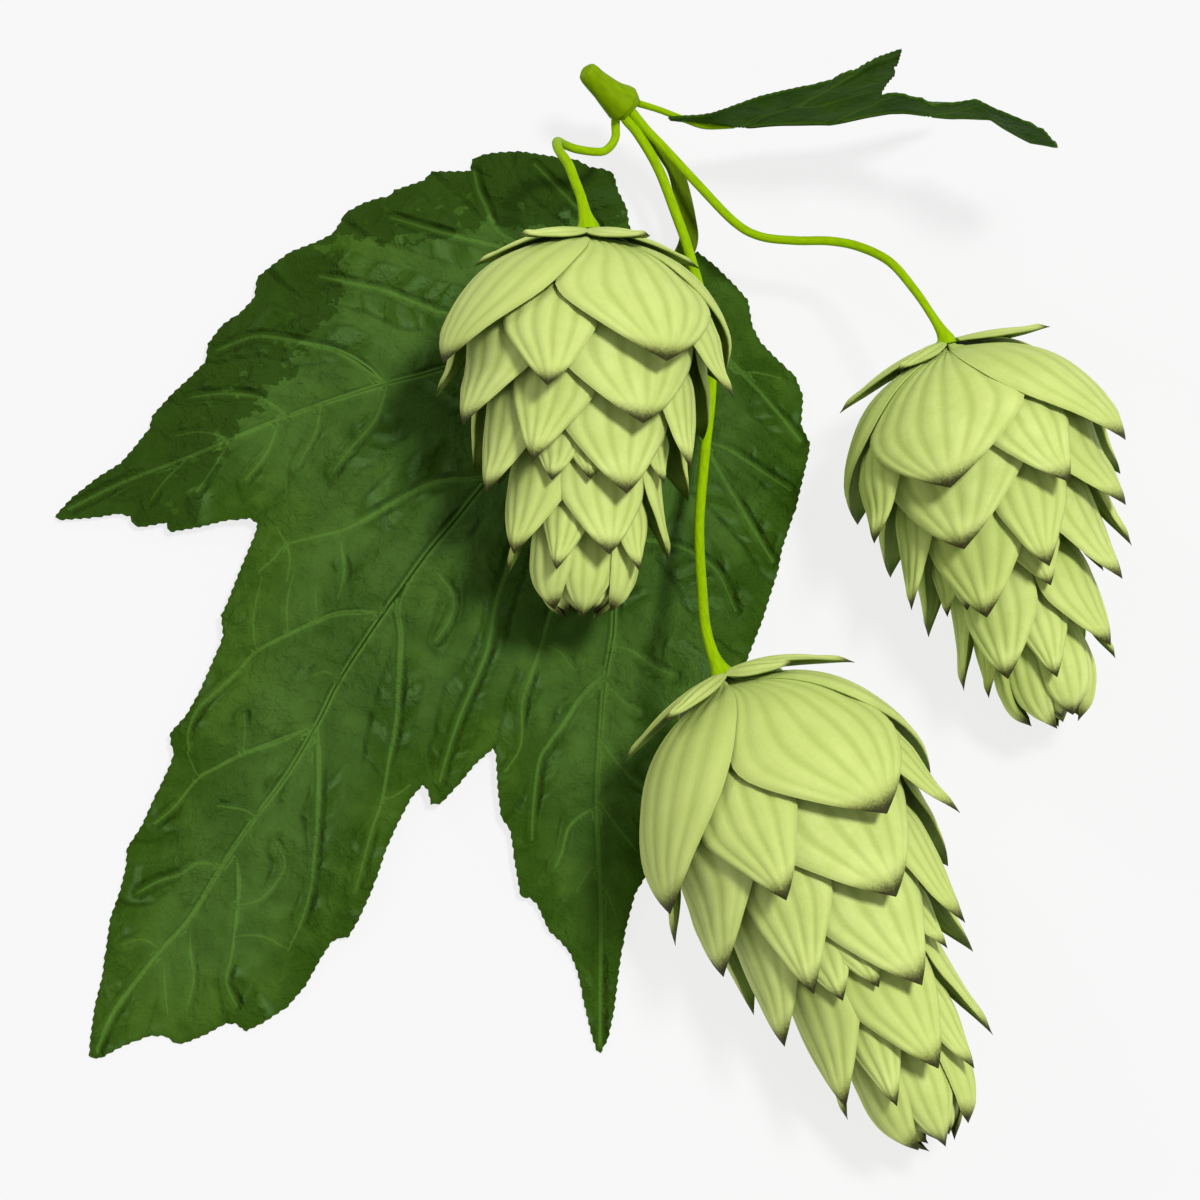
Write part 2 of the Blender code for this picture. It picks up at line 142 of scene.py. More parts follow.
class Finish:
    """A material being made: its shader, and the places and attributes that its maths starts from."""

    def __init__(self, name, roughness, specular):
        self.material = bpy.data.materials.new(name)
        self.material.use_nodes = True
        self.tree = self.material.node_tree
        self.shader = self.tree.nodes["Principled BSDF"]
        self.shader.inputs["Roughness"].default_value = roughness
        self.shader.inputs["Specular IOR Level"].default_value = specular
        self.start = Wire(self.tree)

    def place(self):
        """Place on the object, in millimetres."""
        raw = self.start.node("ShaderNodeTexCoord", output="Object")
        return self.start.node("ShaderNodeVectorMath", {"operation": "SCALE"}, {0: raw, "Scale": 1.0 / MM})

    def kept(self, name):
        """Three numbers kept at each point of the mesh, as separate wires."""
        whole = self.start.node("ShaderNodeAttribute", {"attribute_name": name}, output="Vector")
        split = "ShaderNodeSeparateXYZ"
        return [self.start.node(split, None, {0: whole}, output=axis) for axis in range(3)]

    def join(self, x, y, z):
        return self.start.node("ShaderNodeCombineXYZ", None, {0: x, 1: y, 2: z})

    def noise(self, vector, scale, detail=3.0, roughness=0.5):
        inputs = {"Vector": vector, "Scale": scale, "Detail": detail, "Roughness": roughness}
        return self.start.node("ShaderNodeTexNoise", None, inputs)

    def mix(self, factor, first, second):
        inputs = {0: factor, 6: first, 7: second}
        return self.start.node("ShaderNodeMix", {"data_type": "RGBA"}, inputs, output=2)

    def put(self, socket, wire):
        self.tree.links.new(wire.socket, self.shader.inputs[socket])

    def bump(self, height, distance, strength=1.0):
        """Relief finer than the mesh: height from 0 to 1 stands for distance in millimetres."""
        inputs = {"Height": height, "Distance": distance * MM, "Strength": strength}
        self.put("Normal", self.start.node("ShaderNodeBump", None, inputs))


def colour(red, green, blue):
    """A shader colour from its values as a screen shows them, 0 to 255."""
    linear = []
    for channel in (red, green, blue):
        share = channel / 255.0
        linear.append(share / 12.92 if share <= 0.04045 else ((share + 0.055) / 1.055) ** 2.4)
    return (*linear, 1.0)


TABLE_HALF = 1500.0
TABLE_COLOUR = (0.12, 0.12, 0.12)
TABLE_GLOW = 0.795
LAMP_ANGLE = math.radians(10.0)
LAMP_FROM = Vector((0.32, 0.12, 0.94))
LAMP_POWER = 2.55
SIDE_LAMP_FROM = Vector((-0.6, 0.7, 0.6))
SIDE_LAMP_POWER = 0.3
WALL_LIGHT = 0.34

table_edge = TABLE_HALF * MM
corners = [(-table_edge, -table_edge, 0.0), (table_edge, -table_edge, 0.0)]
corners += [(table_edge, table_edge, 0.0), (-table_edge, table_edge, 0.0)]
table_mesh = bpy.data.meshes.new("table")
table_mesh.from_pydata(corners, [], [(0, 1, 2, 3)])
table = bpy.data.objects.new("table", table_mesh)
scene.collection.objects.link(table)
table_finish = Finish("table_top", 0.9, specular=0.1)
table_finish.shader.inputs["Base Color"].default_value = (*TABLE_COLOUR, 1.0)
table_finish.shader.inputs["Emission Color"].default_value = (1.0, 1.0, 1.0, 1.0)
table_finish.shader.inputs["Emission Strength"].default_value = TABLE_GLOW
table_mesh.materials.append(table_finish.material)


def lamp(name, direction, power):
    """A broad soft lamp that shines from that direction."""
    light = bpy.data.lights.new(name, "SUN")
    light.energy = power
    light.angle = LAMP_ANGLE
    made = bpy.data.objects.new(name, light)
    made.rotation_euler = direction.to_track_quat("Z", "Y").to_euler()
    scene.collection.objects.link(made)


lamp("lamp", LAMP_FROM, LAMP_POWER)
lamp("side_lamp", SIDE_LAMP_FROM, SIDE_LAMP_POWER)
world = bpy.data.worlds.new("white_walls")
world.use_nodes = True
world.node_tree.nodes["Background"].inputs["Color"].default_value = (1.0, 1.0, 1.0, 1.0)
world.node_tree.nodes["Background"].inputs["Strength"].default_value = WALL_LIGHT
scene.world = world


# The stub and the stalks: the cut end of the bine with its flared joint, the three thin stalks that
# carry the cones, and the two leaf stalks. All are living stem, smooth and lime green but for the
# strap of the large leaf, whose darker olive is painted shade, and grow from the flared end of the stub.

STALK_SIDES = 20
STALK_STEPS = 7
SHARP_EDGE = math.radians(55.0)
STALK_UP = (0.2, 0.1, 1.0)


def curve_through(points, steps):
    """Rows of numbers on a smooth curve through the given rows."""
    rows = np.array(points, float)
    padded = np.vstack((2.0 * rows[0] - rows[1], rows, 2.0 * rows[-1] - rows[-2]))
    share = np.linspace(0.0, 1.0, steps, endpoint=False)[:, None]
    found = []
    for before, start, end, after in zip(padded, padded[1:], padded[2:], padded[3:]):
        slope = (end - start) * 3.0
        found.append(
            start
            + 0.5 * share * (end - before)
            + share**2 * (before - 2.5 * start + 2.0 * end - 0.5 * after)
            + share**3 * (0.5 * (after - before) - 0.5 * slope)
        )
    return np.vstack(found + [rows[-1:]])


def add_piece(name, points, faces, finish, node, kept=None):
    """A piece of the sprig, from points in millimetres. It stands for one of the frame's nodes."""
    mesh = bpy.data.meshes.new(name)
    mesh.from_pydata((points * MM).tolist(), [], faces)
    mesh.validate()
    for label, values in (kept or {}).items():
        layer = mesh.attributes.new(label, "FLOAT_VECTOR", "POINT")
        layer.data.foreach_set("vector", np.asarray(values, np.float32).ravel())
    mesh.shade_smooth()
    mesh.set_sharp_from_angle(angle=SHARP_EDGE)
    mesh.materials.append(finish)
    piece = bpy.data.objects.new(name, mesh)
    scene.collection.objects.link(piece)
    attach(piece, "root")
    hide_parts(node)
    return piece


def swept(path, radii, section, start_up):
    """Closed skin of a stem: the section, in shares of the radius, carried along the path."""
    ring = len(section)
    ahead = np.gradient(path, axis=0)
    ahead /= np.linalg.norm(ahead, axis=1)[:, None]
    up = np.array(start_up, float)
    points = []
    kept = []
    travelled = np.concatenate(((0.0,), np.cumsum(np.linalg.norm(np.diff(path, axis=0), axis=1))))
    for place, radius, way, far in zip(path, radii, ahead, travelled):
        up = up - way * up.dot(way)
        up /= np.linalg.norm(up)
        side = np.cross(way, up)
        for index, (across, lift) in enumerate(section):
            points.append(place + radius * (side * across + up * lift))
            kept.append((index / ring, far, radius))
    faces = []
    for row in range(len(path) - 1):
        for index in range(ring):
            following = (index + 1) % ring
            low = row * ring
            high = low + ring
            faces.append((low + index, high + index, high + following, low + following))
    for row, turn in ((0, 1), (len(path) - 1, -1)):
        middle = len(points)
        points.append(path[row])
        kept.append((0.0, travelled[row], 0.0))
        for index in range(ring):
            pair = (row * ring + index, row * ring + (index + 1) % ring)
            faces.append((middle, *pair[::turn]))
    return np.array(points), faces, np.array(kept)


def round_section(sides):
    """A circle of radius 1 with that many corners."""
    turns = np.linspace(0.0, 2.0 * math.pi, sides, endpoint=False)
    return [(math.cos(turn), math.sin(turn)) for turn in turns]


def make_stalk_finish(name, pale, deep):
    """Smooth young stem: faint lengthwise streaks and a few darker specks."""
    finish = Finish(name, 0.55, specular=0.05)
    round_stem, along, _ = finish.kept("along_stem")
    place = finish.place()
    streaks = finish.noise(finish.join(round_stem * 9.0, along * 0.35, 0.0), 1.6, 3.0)
    specks = finish.noise(place, 5.0, 2.0).step(0.62, 0.75)
    tint = finish.mix(streaks.step(0.35, 0.7), pale, deep)
    finish.put("Base Color", finish.mix(specks * 0.2, tint, colour(96, 128, 0)))
    finish.put("Roughness", 0.5 + streaks * 0.15)
    finish.bump(streaks, 0.025)
    return finish.material


stalk_skin = make_stalk_finish("stalk_lime", colour(152, 190, 0), colour(134, 172, 0))
stub_skin = make_stalk_finish("stub_lime", colour(128, 160, 0), colour(114, 146, 0))
# The strap's darker olive stands in for shade: painted shade.
strap_skin = make_stalk_finish("strap_olive", colour(88, 112, 0), colour(68, 90, 0))

# Points of each centre line and the radius there
STUB = (
    (0.15, 66.68, 15.0, 0.3),
    (0.2, 66.65, 14.95, 0.85),
    (0.4, 66.52, 14.8, 1.2),
    (0.75, 66.3, 14.45, 1.36),
    (1.4, 65.8, 13.8, 1.45),
    (2.4, 65.15, 12.95, 1.62),
    (3.2, 64.6, 12.3, 1.84),
    (3.9, 64.2, 11.7, 2.08),
    (4.4, 63.95, 11.32, 2.3),
    (4.75, 63.78, 11.04, 2.38),
    (4.9, 63.7, 10.92, 2.3),
    (4.95, 63.66, 10.88, 2.0),
    (4.85, 63.7, 10.95, 1.3),
)
CONE_STALKS = {
    "pedicel_1": (
        (4.1, 63.4, 10.9, 0.6),
        (3.9, 61.8, 9.4, 0.54),
        (3.9, 60.2, 8.9, 0.52),
        (3.2, 58.9, 8.8, 0.52),
        (2.0, 58.2, 9.0, 0.52),
        (-0.6, 58.0, 10.4, 0.53),
        (-2.2, 58.0, 12.0, 0.54),
        (-3.2, 57.4, 15.0, 0.58),
        (-3.0, 54.6, 20.0, 0.58),
        (-1.8, 51.8, 22.7, 0.6),
        (-1.0, 49.3, 23.7, 0.6),
        (-0.3, 47.2, 24.3, 0.6),
        (0.1, 45.4, 24.5, 0.6),
        (0.5, 43.6, 24.6, 0.6),
        (0.55, 43.0, 24.5, 0.6),
    ),
    "pedicel_2": (
        (5.1, 63.7, 11.1, 0.7),
        (5.8, 62.9, 10.7, 0.62),
        (7.7, 60.7, 10.0, 0.58),
        (9.8, 58.4, 10.0, 0.57),
        (13.9, 53.5, 10.6, 0.56),
        (18.3, 48.3, 11.6, 0.55),
        (21.5, 46.2, 12.2, 0.53),
        (25.7, 45.4, 13.0, 0.54),
        (29.9, 45.0, 14.0, 0.55),
        (33.5, 43.9, 15.0, 0.56),
        (37.0, 41.2, 17.3, 0.55),
        (39.8, 37.1, 19.0, 0.52),
        (41.6, 34.0, 19.7, 0.5),
        (43.2, 31.2, 19.7, 0.48),
        (43.5, 30.2, 19.5, 0.48),
    ),
    "pedicel_3": (
        (4.4, 63.3, 10.9, 0.65),
        (5.2, 61.9, 10.4, 0.62),
        (6.7, 60.1, 10.0, 0.62),
        (9.2, 56.0, 8.8, 0.62),
        (11.5, 50.1, 7.5, 0.62),
        (12.8, 46.3, 7.0, 0.61),
        (14.8, 38.6, 6.5, 0.58),
        (15.6, 29.5, 7.2, 0.6),
        (14.6, 18.7, 9.2, 0.62),
        (13.9, 9.1, 12.6, 0.6),
        (14.2, -1.1, 18.2, 0.6),
        (14.5, -5.6, 21.6, 0.6),
        (15.2, -8.7, 22.6, 0.62),
        (16.0, -10.6, 22.5, 0.62),
        (16.45, -11.5, 22.3, 0.62),
    ),
}
SMALL_LEAF_STALK = (
    (5.3, 64.1, 10.9, 0.5),
    (6.3, 64.1, 10.4, 0.45),
    (9.3, 62.7, 11.6, 0.4),
    (12.5, 60.9, 13.0, 0.4),
    (14.9, 59.9, 13.6, 0.4),
    (18.4, 59.5, 14.3, 0.16),
)
LARGE_LEAF_STALK = (
    (4.9, 63.5, 10.3, 0.6),
    (6.4, 62.3, 9.0, 0.65),
    (8.4, 60.1, 7.9, 0.78),
    (10.0, 58.2, 7.0, 0.95),
    (11.3, 56.2, 6.2, 1.15),
    (12.5, 51.0, 4.9, 1.28),
    (12.6, 47.7, 4.5, 1.3),
    (10.6, 44.4, 4.3, 1.0),
    (8.6, 42.4, 4.2, 0.6),
)
# How much wider a stalk gets, by the distance left to its cone
FLARE = ((0.0, 1.0), (0.6, 0.62), (1.2, 0.36), (2.0, 0.17), (3.0, 0.06), (4.5, 0.0))
# Half of the strap's section: a channel along its upper face and a keel below
STRAP_HALF = ((0.0, 0.1), (0.45, 0.2), (0.85, 0.42), (1.0, 0.3), (0.8, -0.1), (0.4, -0.42), (0.0, -0.52))


def add_stalk(name, points, skin, node, section=None, flare=None):
    """A stalk along its centre line, round unless it has a section of its own."""
    rows = curve_through(points, STALK_STEPS)
    if flare:
        left = np.linalg.norm(rows[:, :3] - rows[-1, :3], axis=1)
        rows[:, 3] += np.interp(left, *zip(*flare))
    section = section or round_section(STALK_SIDES)
    shape, faces, kept = swept(rows[:, :3], rows[:, 3], section, STALK_UP)
    add_piece(name, shape, faces, skin, node, {"along_stem": kept})


strap_section = list(STRAP_HALF) + [(-across, lift) for across, lift in STRAP_HALF[-2:0:-1]]
strap_section.reverse()
add_stalk("bine_end", STUB, stub_skin, "bine_stub")
for node, points in CONE_STALKS.items():
    add_stalk(node.replace("pedicel", "cone_stalk"), points, stalk_skin, node, flare=FLARE)
add_stalk("small_leaf_stalk", SMALL_LEAF_STALK, stalk_skin, "petiole_small")
add_stalk("large_leaf_stalk", LARGE_LEAF_STALK, strap_skin, "petiole_large", strap_section)


# The large leaf: a thin lobed blade with raised veins and fine teeth, quilted between the veins. It
# lies on the table under the whole sprig, and is darker and duller along its upper left margin.

LEAF_POINT_STEP = 0.75
LEAF_SHEET = 0.3
TOOTH_LENGTH = 1.1
TOOTH_DEPTH = 0.24
RIM_STEP = 0.36
DOME_CENTRE = (-15.0, 7.0)
DOME_FOOT = 0.5
DOME_RISE = 3.2
DOME_SPREAD = 60.0
SEAT_DROP = 0.15
SEAT_GAP = 0.05
QUILT_RISE = 0.55
QUILT_REACH = 2.6
WAVE_RISE = 0.35
WAVE_LENGTH = 17.0
WRINKLE_RISE = 0.45
WRINKLE_LENGTH = 4.6
WRINKLE_PATCH = 30.0
FOLD_RISE = 0.24
FOLD_PITCH = 4.2
FOLD_SLANT = 0.6
FOLD_BEND = 2.5
FOLD_BEND_LENGTH = 12.0
FOLD_OFFSET = 7.0
CORD_RISE = 0.6
VEIN_START = 0.3
VEIN_TAPER = 0.6
VEIN_GROWS_IN = 2.5
VEIN_STEPS = 3

# Rim of the blade, by the pixel of the 1200 frame where the camera sees it, from the upper lobe round
# by the left, middle and lower lobes
LARGE_RIM = (
    (480, 155), (472, 160), (471, 171), (432, 171), (424, 180), (398, 189), (394, 190), (390, 196),
    (378, 198), (362, 203), (345, 212), (341, 221), (333, 233), (318, 241), (290, 252), (275, 263),
    (257, 277), (254, 297), (240, 312), (222, 325), (208, 344), (206, 361), (190, 377), (172, 393),
    (152, 415), (149, 429), (135, 447), (121, 463), (98, 477), (72, 497), (55, 515), (58, 519),
    (90, 517), (118, 512), (130, 515), (133, 523), (140, 526), (156, 523), (166, 521), (169, 531),
    (200, 526), (225, 520), (250, 517), (258, 523), (255, 535), (240, 570), (226, 605), (221, 615),
    (223, 635), (218, 650), (200, 690), (186, 715), (170, 733), (171, 745), (174, 752), (171, 763),
    (158, 790), (142, 825), (127, 848), (126, 866), (120, 890), (110, 918), (107, 940), (103, 975),
    (95, 1005), (90, 1040), (89, 1057), (100, 1058), (120, 1047), (148, 1035), (165, 1035), (176, 1043),
    (185, 1042), (205, 1034), (225, 1023), (236, 1023), (245, 1031), (262, 1023), (285, 1008), (305, 985),
    (320, 958), (332, 940), (344, 936), (347, 938), (358, 920), (372, 890), (385, 850), (396, 825),
    (411, 797), (423, 784), (428, 790), (431, 804), (441, 803), (455, 788), (475, 763), (493, 747),
    (496, 752), (498, 790), (501, 816), (510, 829), (514, 855), (521, 896), (530, 897), (537, 903),
    (549, 930), (560, 940), (570, 952), (577, 970), (585, 1005), (592, 1035), (597, 1050), (600, 1053),
    (608, 1038), (614, 1010), (619, 970), (625, 930), (635, 893), (648, 872), (668, 840), (700, 790),
    (730, 710), (748, 655), (762, 620), (778, 570), (782, 548), (795, 510), (808, 455), (810, 443),
    (801, 425), (803, 396), (795, 375), (778, 360), (760, 341), (752, 325), (748, 300), (735, 285),
    (715, 265), (697, 251), (675, 262), (655, 280), (645, 262), (629, 225), (627, 208), (618, 190),
    (614, 174), (604, 169), (590, 167), (576, 159), (560, 157), (520, 151), (500, 152), (490, 153),
)
# Veins, each with its half-width in millimetres where it leaves the leaf's foot or its parent vein
LARGE_VEINS = (
    (0.36, ((652, 286), (550, 332), (444, 369), (387, 383), (346, 396), (282, 418), (232, 439), (190, 457),
            (123, 482), (70, 508))),
    (0.42, ((652, 286), (560, 400), (480, 490), (457, 518), (429, 551), (401, 590), (384, 613), (340, 679),
            (320, 719), (288, 774), (253, 820), (222, 866), (190, 918), (161, 950), (138, 979), (112, 1014),
            (97, 1050))),
    (0.38, ((652, 286), (636, 440), (622, 540), (615, 598), (613, 635), (605, 681), (601, 733), (598, 780),
           (597, 820), (600, 878), (601, 921), (600, 1000), (600, 1045))),
    (0.32, ((652, 286), (560, 262), (505, 236), (492, 221), (486, 207), (478, 190), (474, 172))),
    (0.3, ((652, 286), (610, 240), (570, 200), (535, 165))),
    (0.32, ((652, 286), (540, 320), (448, 314), (429, 308), (407, 300), (387, 291), (354, 283), (320, 276))),
    (0.32, ((652, 286), (720, 350), (765, 398), (800, 440))),
    (0.32, ((652, 286), (690, 410), (730, 490), (772, 560))),
    (0.26, ((560, 262), (470, 239), (430, 229), (392, 218))),
    (0.3, ((386, 383), (359, 362), (334, 350), (301, 343), (276, 338), (251, 337), (218, 350))),
    (0.22, ((287, 415), (268, 401), (251, 395), (221, 393), (190, 397))),
    (0.18, ((387, 384), (376, 418), (351, 448), (334, 470))),
    (0.18, ((321, 407), (315, 434), (298, 465))),
    (0.18, ((279, 421), (268, 451), (246, 479))),
    (0.15, ((232, 439), (212, 470), (196, 492))),
    (0.15, ((190, 457), (165, 480), (150, 500))),
    (0.15, ((232, 439), (200, 432), (176, 436))),
    (0.28, ((560, 420), (500, 470), (473, 479), (451, 480), (429, 484), (401, 498), (373, 515), (346, 529),
            (318, 536), (287, 544), (273, 559), (259, 571))),
    (0.18, ((276, 526), (284, 540), (290, 557), (287, 580))),
    (0.2, ((340, 537), (344, 570), (338, 598))),
    (0.26, ((382, 612), (340, 613), (317, 621), (288, 635), (256, 652), (236, 673), (210, 696), (196, 710),
            (188, 733), (189, 750))),
    (0.15, ((256, 652), (253, 618), (262, 577))),
    (0.13, ((288, 635), (287, 600), (295, 570))),
    (0.13, ((317, 621), (315, 590))),
    (0.26, ((308, 728), (279, 741), (242, 754), (216, 768), (198, 778), (175, 806), (155, 823))),
    (0.13, ((242, 754), (245, 735), (244, 715))),
    (0.13, ((198, 778), (188, 755))),
    (0.2, ((256, 816), (242, 809), (219, 806))),
    (0.22, ((222, 865), (198, 863), (181, 874), (158, 881), (138, 892))),
    (0.18, ((337, 677), (326, 671), (315, 674))),
    (0.16, ((161, 949), (142, 939), (124, 944))),
    (0.26, ((415, 575), (398, 603), (401, 635), (399, 676), (396, 722), (389, 759), (382, 800), (372, 829),
            (362, 866), (356, 890))),
    (0.16, ((382, 800), (396, 795), (410, 785))),
    (0.24, ((318, 730), (319, 762), (318, 809), (315, 849), (310, 892), (300, 924), (288, 950))),
    (0.24, ((237, 858), (239, 887), (236, 924), (232, 956), (226, 982), (236, 1005))),
    (0.13, ((236, 905), (262, 898), (285, 866), (276, 843))),
    (0.13, ((236, 936), (262, 936), (290, 950))),
    (0.16, ((190, 933), (191, 959), (194, 979), (186, 1010))),
    (0.14, ((164, 962), (165, 988), (168, 1019))),
    (0.18, ((432, 566), (453, 595), (450, 618), (436, 640))),
    (0.28, ((575, 400), (520, 530), (506, 574), (496, 603), (488, 647), (475, 681), (461, 713), (449, 748),
            (440, 780))),
    (0.26, ((585, 520), (550, 615), (542, 644), (530, 678), (522, 704), (521, 745), (506, 770))),
    (0.14, ((542, 644), (560, 652), (572, 668))),
    (0.24, ((605, 673), (582, 696), (565, 722), (548, 745), (539, 762), (533, 809), (532, 838))),
    (0.22, ((597, 806), (579, 817), (568, 829), (562, 852), (556, 866))),
    (0.16, ((599, 860), (588, 872), (576, 892))),
    (0.2, ((614, 644), (634, 652), (655, 667), (674, 675))),
    (0.16, ((606, 681), (622, 700), (640, 712))),
    (0.18, ((601, 740), (625, 772), (648, 790))),
    (0.18, ((598, 800), (620, 830), (636, 850))),
    (0.14, ((600, 878), (612, 905), (618, 925))),
    (0.22, ((622, 540), (652, 541), (683, 548), (716, 570), (735, 610))),
    (0.2, ((705, 440), (730, 450), (760, 470), (790, 490))),
    (0.2, ((720, 350), (735, 372), (755, 372), (780, 378))),
)
# Edge of the darker, duller margin, by the same pixels
DARK_EDGE = (
    (640, 216), (618, 222), (596, 228), (574, 220), (552, 229), (533, 224), (512, 231), (494, 222),
    (470, 232), (443, 239), (420, 236), (400, 245), (380, 240), (362, 247), (348, 236), (336, 240),
    (330, 250), (338, 262), (343, 280), (344, 300), (334, 312), (326, 320), (318, 334), (303, 341),
    (298, 362), (290, 382), (264, 393), (259, 404), (245, 418), (234, 440), (218, 473), (207, 495),
    (190, 530),
)
# Pixels beyond the rim that close the dark margin's outline
DARK_CORNERS = ((100, 600), (0, 600), (0, 100), (640, 100))


def dome_height(x, y):
    """How high the blade bulges off the table at a place in plan."""
    away = np.hypot(x - DOME_CENTRE[0], y - DOME_CENTRE[1]) / DOME_SPREAD
    return DOME_FOOT + DOME_RISE * np.maximum(0.0, 1.0 - away) ** 0.9


def on_leaf(pixels):
    """The pixels' places on the domed blade, in plan."""
    found = []
    for px, py in pixels:
        height = 1.0
        for _ in range(3):
            place = under_pixel(px, py, height)
            height = float(dome_height(place[0], place[1]))
        found.append(place[:2])
    return np.array(found)


def evenly(line, step):
    """The line with points about a step apart."""
    gaps = np.linalg.norm(np.diff(line, axis=0), axis=1)
    far = np.concatenate(((0.0,), np.cumsum(gaps)))
    wanted = np.linspace(0.0, far[-1], max(2, int(far[-1] / step) + 1))
    return np.column_stack([np.interp(wanted, far, line[:, axis]) for axis in range(line.shape[1])])


def toothed(rim, step, length, depth):
    """The closed rim cut into fine teeth that lean towards its later points."""
    closed = evenly(np.vstack((rim, rim[:1])), step)[:-1]
    ahead = np.roll(closed, -1, axis=0) - np.roll(closed, 1, axis=0)
    ahead /= np.linalg.norm(ahead, axis=1)[:, None]
    outward = np.column_stack((ahead[:, 1], -ahead[:, 0]))
    x, y = closed.T
    area = 0.5 * np.sum(x * np.roll(y, -1) - y * np.roll(x, -1))
    share = (np.arange(len(closed)) * step / length) % 1.0
    return closed + outward * math.copysign(1.0, area) * (depth * (share - 0.4))[:, None]


def nearest_run(points, lines):
    """For each point: how far the nearest line is, its number, the way along it as a share and in
    millimetres, the side of it, and how much farther the next line is."""
    best = np.full(len(points), 1e9)
    other = np.full(len(points), 1e9)
    which = np.zeros(len(points), int)
    share = np.zeros(len(points))
    along = np.zeros(len(points))
    side = np.ones(len(points))
    for number, line in enumerate(lines):
        gaps = np.linalg.norm(np.diff(line, axis=0), axis=1)
        far = np.concatenate(((0.0,), np.cumsum(gaps)))
        before = best.copy()
        from_line = np.full(len(points), 1e9)
        for start, end, begun in zip(line, line[1:], far):
            run = end - start
            length = np.linalg.norm(run)
            offset = points - start
            at = np.clip(offset @ run / length**2, 0.0, 1.0)
            away = np.linalg.norm(offset - at[:, None] * run, axis=1)
            from_line = np.minimum(from_line, away)
            nearer = away < best
            best[nearer] = away[nearer]
            which[nearer] = number
            along[nearer] = (begun + at * length)[nearer]
            share[nearer] = along[nearer] / far[-1]
            side[nearer] = np.sign(offset @ np.array((run[1], -run[0])))[nearer]
        other = np.minimum(other, np.maximum(before, from_line))
    return best, which, share, along, side, other - best


def waves(x, y, seed, length):
    """Slow ripples from a few crossing sines, from -1 to 1."""
    random = np.random.default_rng(seed)
    total = np.zeros(len(x))
    for _ in range(5):
        turn = random.uniform(0.0, math.pi)
        pace = 2.0 * math.pi / (length * random.uniform(0.6, 1.6))
        total += np.sin((x * math.cos(turn) + y * math.sin(turn)) * pace + random.uniform(0.0, 6.3))
    return total / 5.0


def blade_plan(rim, veins, step):
    """Triangles that fill the rim, with their corners in rows along the veins."""
    spots = [rim]
    for width, line in veins:
        centre = evenly(line, step * 0.75)
        ahead = np.gradient(centre, axis=0)
        ahead /= np.maximum(1e-6, np.linalg.norm(ahead, axis=1))[:, None]
        side = np.column_stack((-ahead[:, 1], ahead[:, 0]))
        for offset in (0.0, width, -width, width * 2.4, -width * 2.4):
            spots.append(centre + side * offset)
    low = rim.min(axis=0)
    high = rim.max(axis=0)
    rows = np.arange(low[1], high[1], step * 0.866)
    for number, y in enumerate(rows):
        x = np.arange(low[0] + (number % 2) * step / 2.0, high[0], step)
        spots.append(np.column_stack((x, np.full(len(x), y))))
    cell = step * 0.33
    taken = {}
    for index, spot in enumerate(np.vstack(spots)):
        key = (int(spot[0] // cell), int(spot[1] // cell))
        if index < len(rim) or not any(
            math.dist(spot, taken[near]) < cell
            for near in ((key[0] + i, key[1] + j) for i in (-1, 0, 1) for j in (-1, 0, 1))
            if near in taken
        ):
            taken.setdefault(key if key not in taken else (key, index), tuple(spot))
    corners = [Vector(spot) for spot in taken.values()]
    loop = list(range(len(rim)))
    found, _, faces, *_ = delaunay_2d_cdt(corners, [], [loop], 1, 1e-5)
    used = sorted({corner for face in faces for corner in face})
    number = {corner: place for place, corner in enumerate(used)}
    plan = np.array([found[corner][:] for corner in used])
    triangles = [tuple(number[corner] for corner in face) for face in faces]
    return plan, triangles


def sheet_shell(plan, triangles, top, bottom):
    """Closed skin over and under a plan."""
    count = len(plan)
    points = np.vstack((np.column_stack((plan, top)), np.column_stack((plan, bottom))))
    faces = list(triangles) + [tuple(count + corner for corner in face[::-1]) for face in triangles]
    sides = {(a, b) for face in triangles for a, b in zip(face, face[1:] + face[:1])}
    faces += [(b, a, count + a, count + b) for a, b in sides if (b, a) not in sides]
    return points, faces


def vein_relief(plan, veins):
    """Distance to the nearest vein, its half-width there, the side of it, and what places the fine
    folds between the veins: the way along the vein, and how far the middle between two veins is."""
    away, which, share, along, side, border = nearest_run(plan, [line for width, line in veins])
    widths = np.array([width for width, line in veins])[which] * (1.0 - VEIN_TAPER * share)
    widths *= VEIN_START + (1.0 - VEIN_START) * np.clip(along / VEIN_GROWS_IN, 0.0, 1.0)
    folds = np.column_stack((along + FOLD_OFFSET * which, border, np.zeros(len(plan))))
    return away, widths, side, folds


def beyond(distance, reach):
    """From 0 at no distance to 1 well beyond the reach."""
    return 1.0 - np.exp(-((distance / reach) ** 2))


def inward(edge_away, reach):
    """From 0 at the rim to 1 at the reach."""
    return np.minimum(1.0, edge_away / reach)


def inside(points, outline):
    """Whether each point is inside the closed outline."""
    x, y = points.T
    within = np.zeros(len(points), bool)
    for (x0, y0), (x1, y1) in zip(outline, np.roll(outline, -1, axis=0)):
        crosses = (y0 > y) != (y1 > y)
        within ^= crosses & (x < (x1 - x0) * (y - y0) / (y1 - y0 + 1e-12) + x0)
    return within


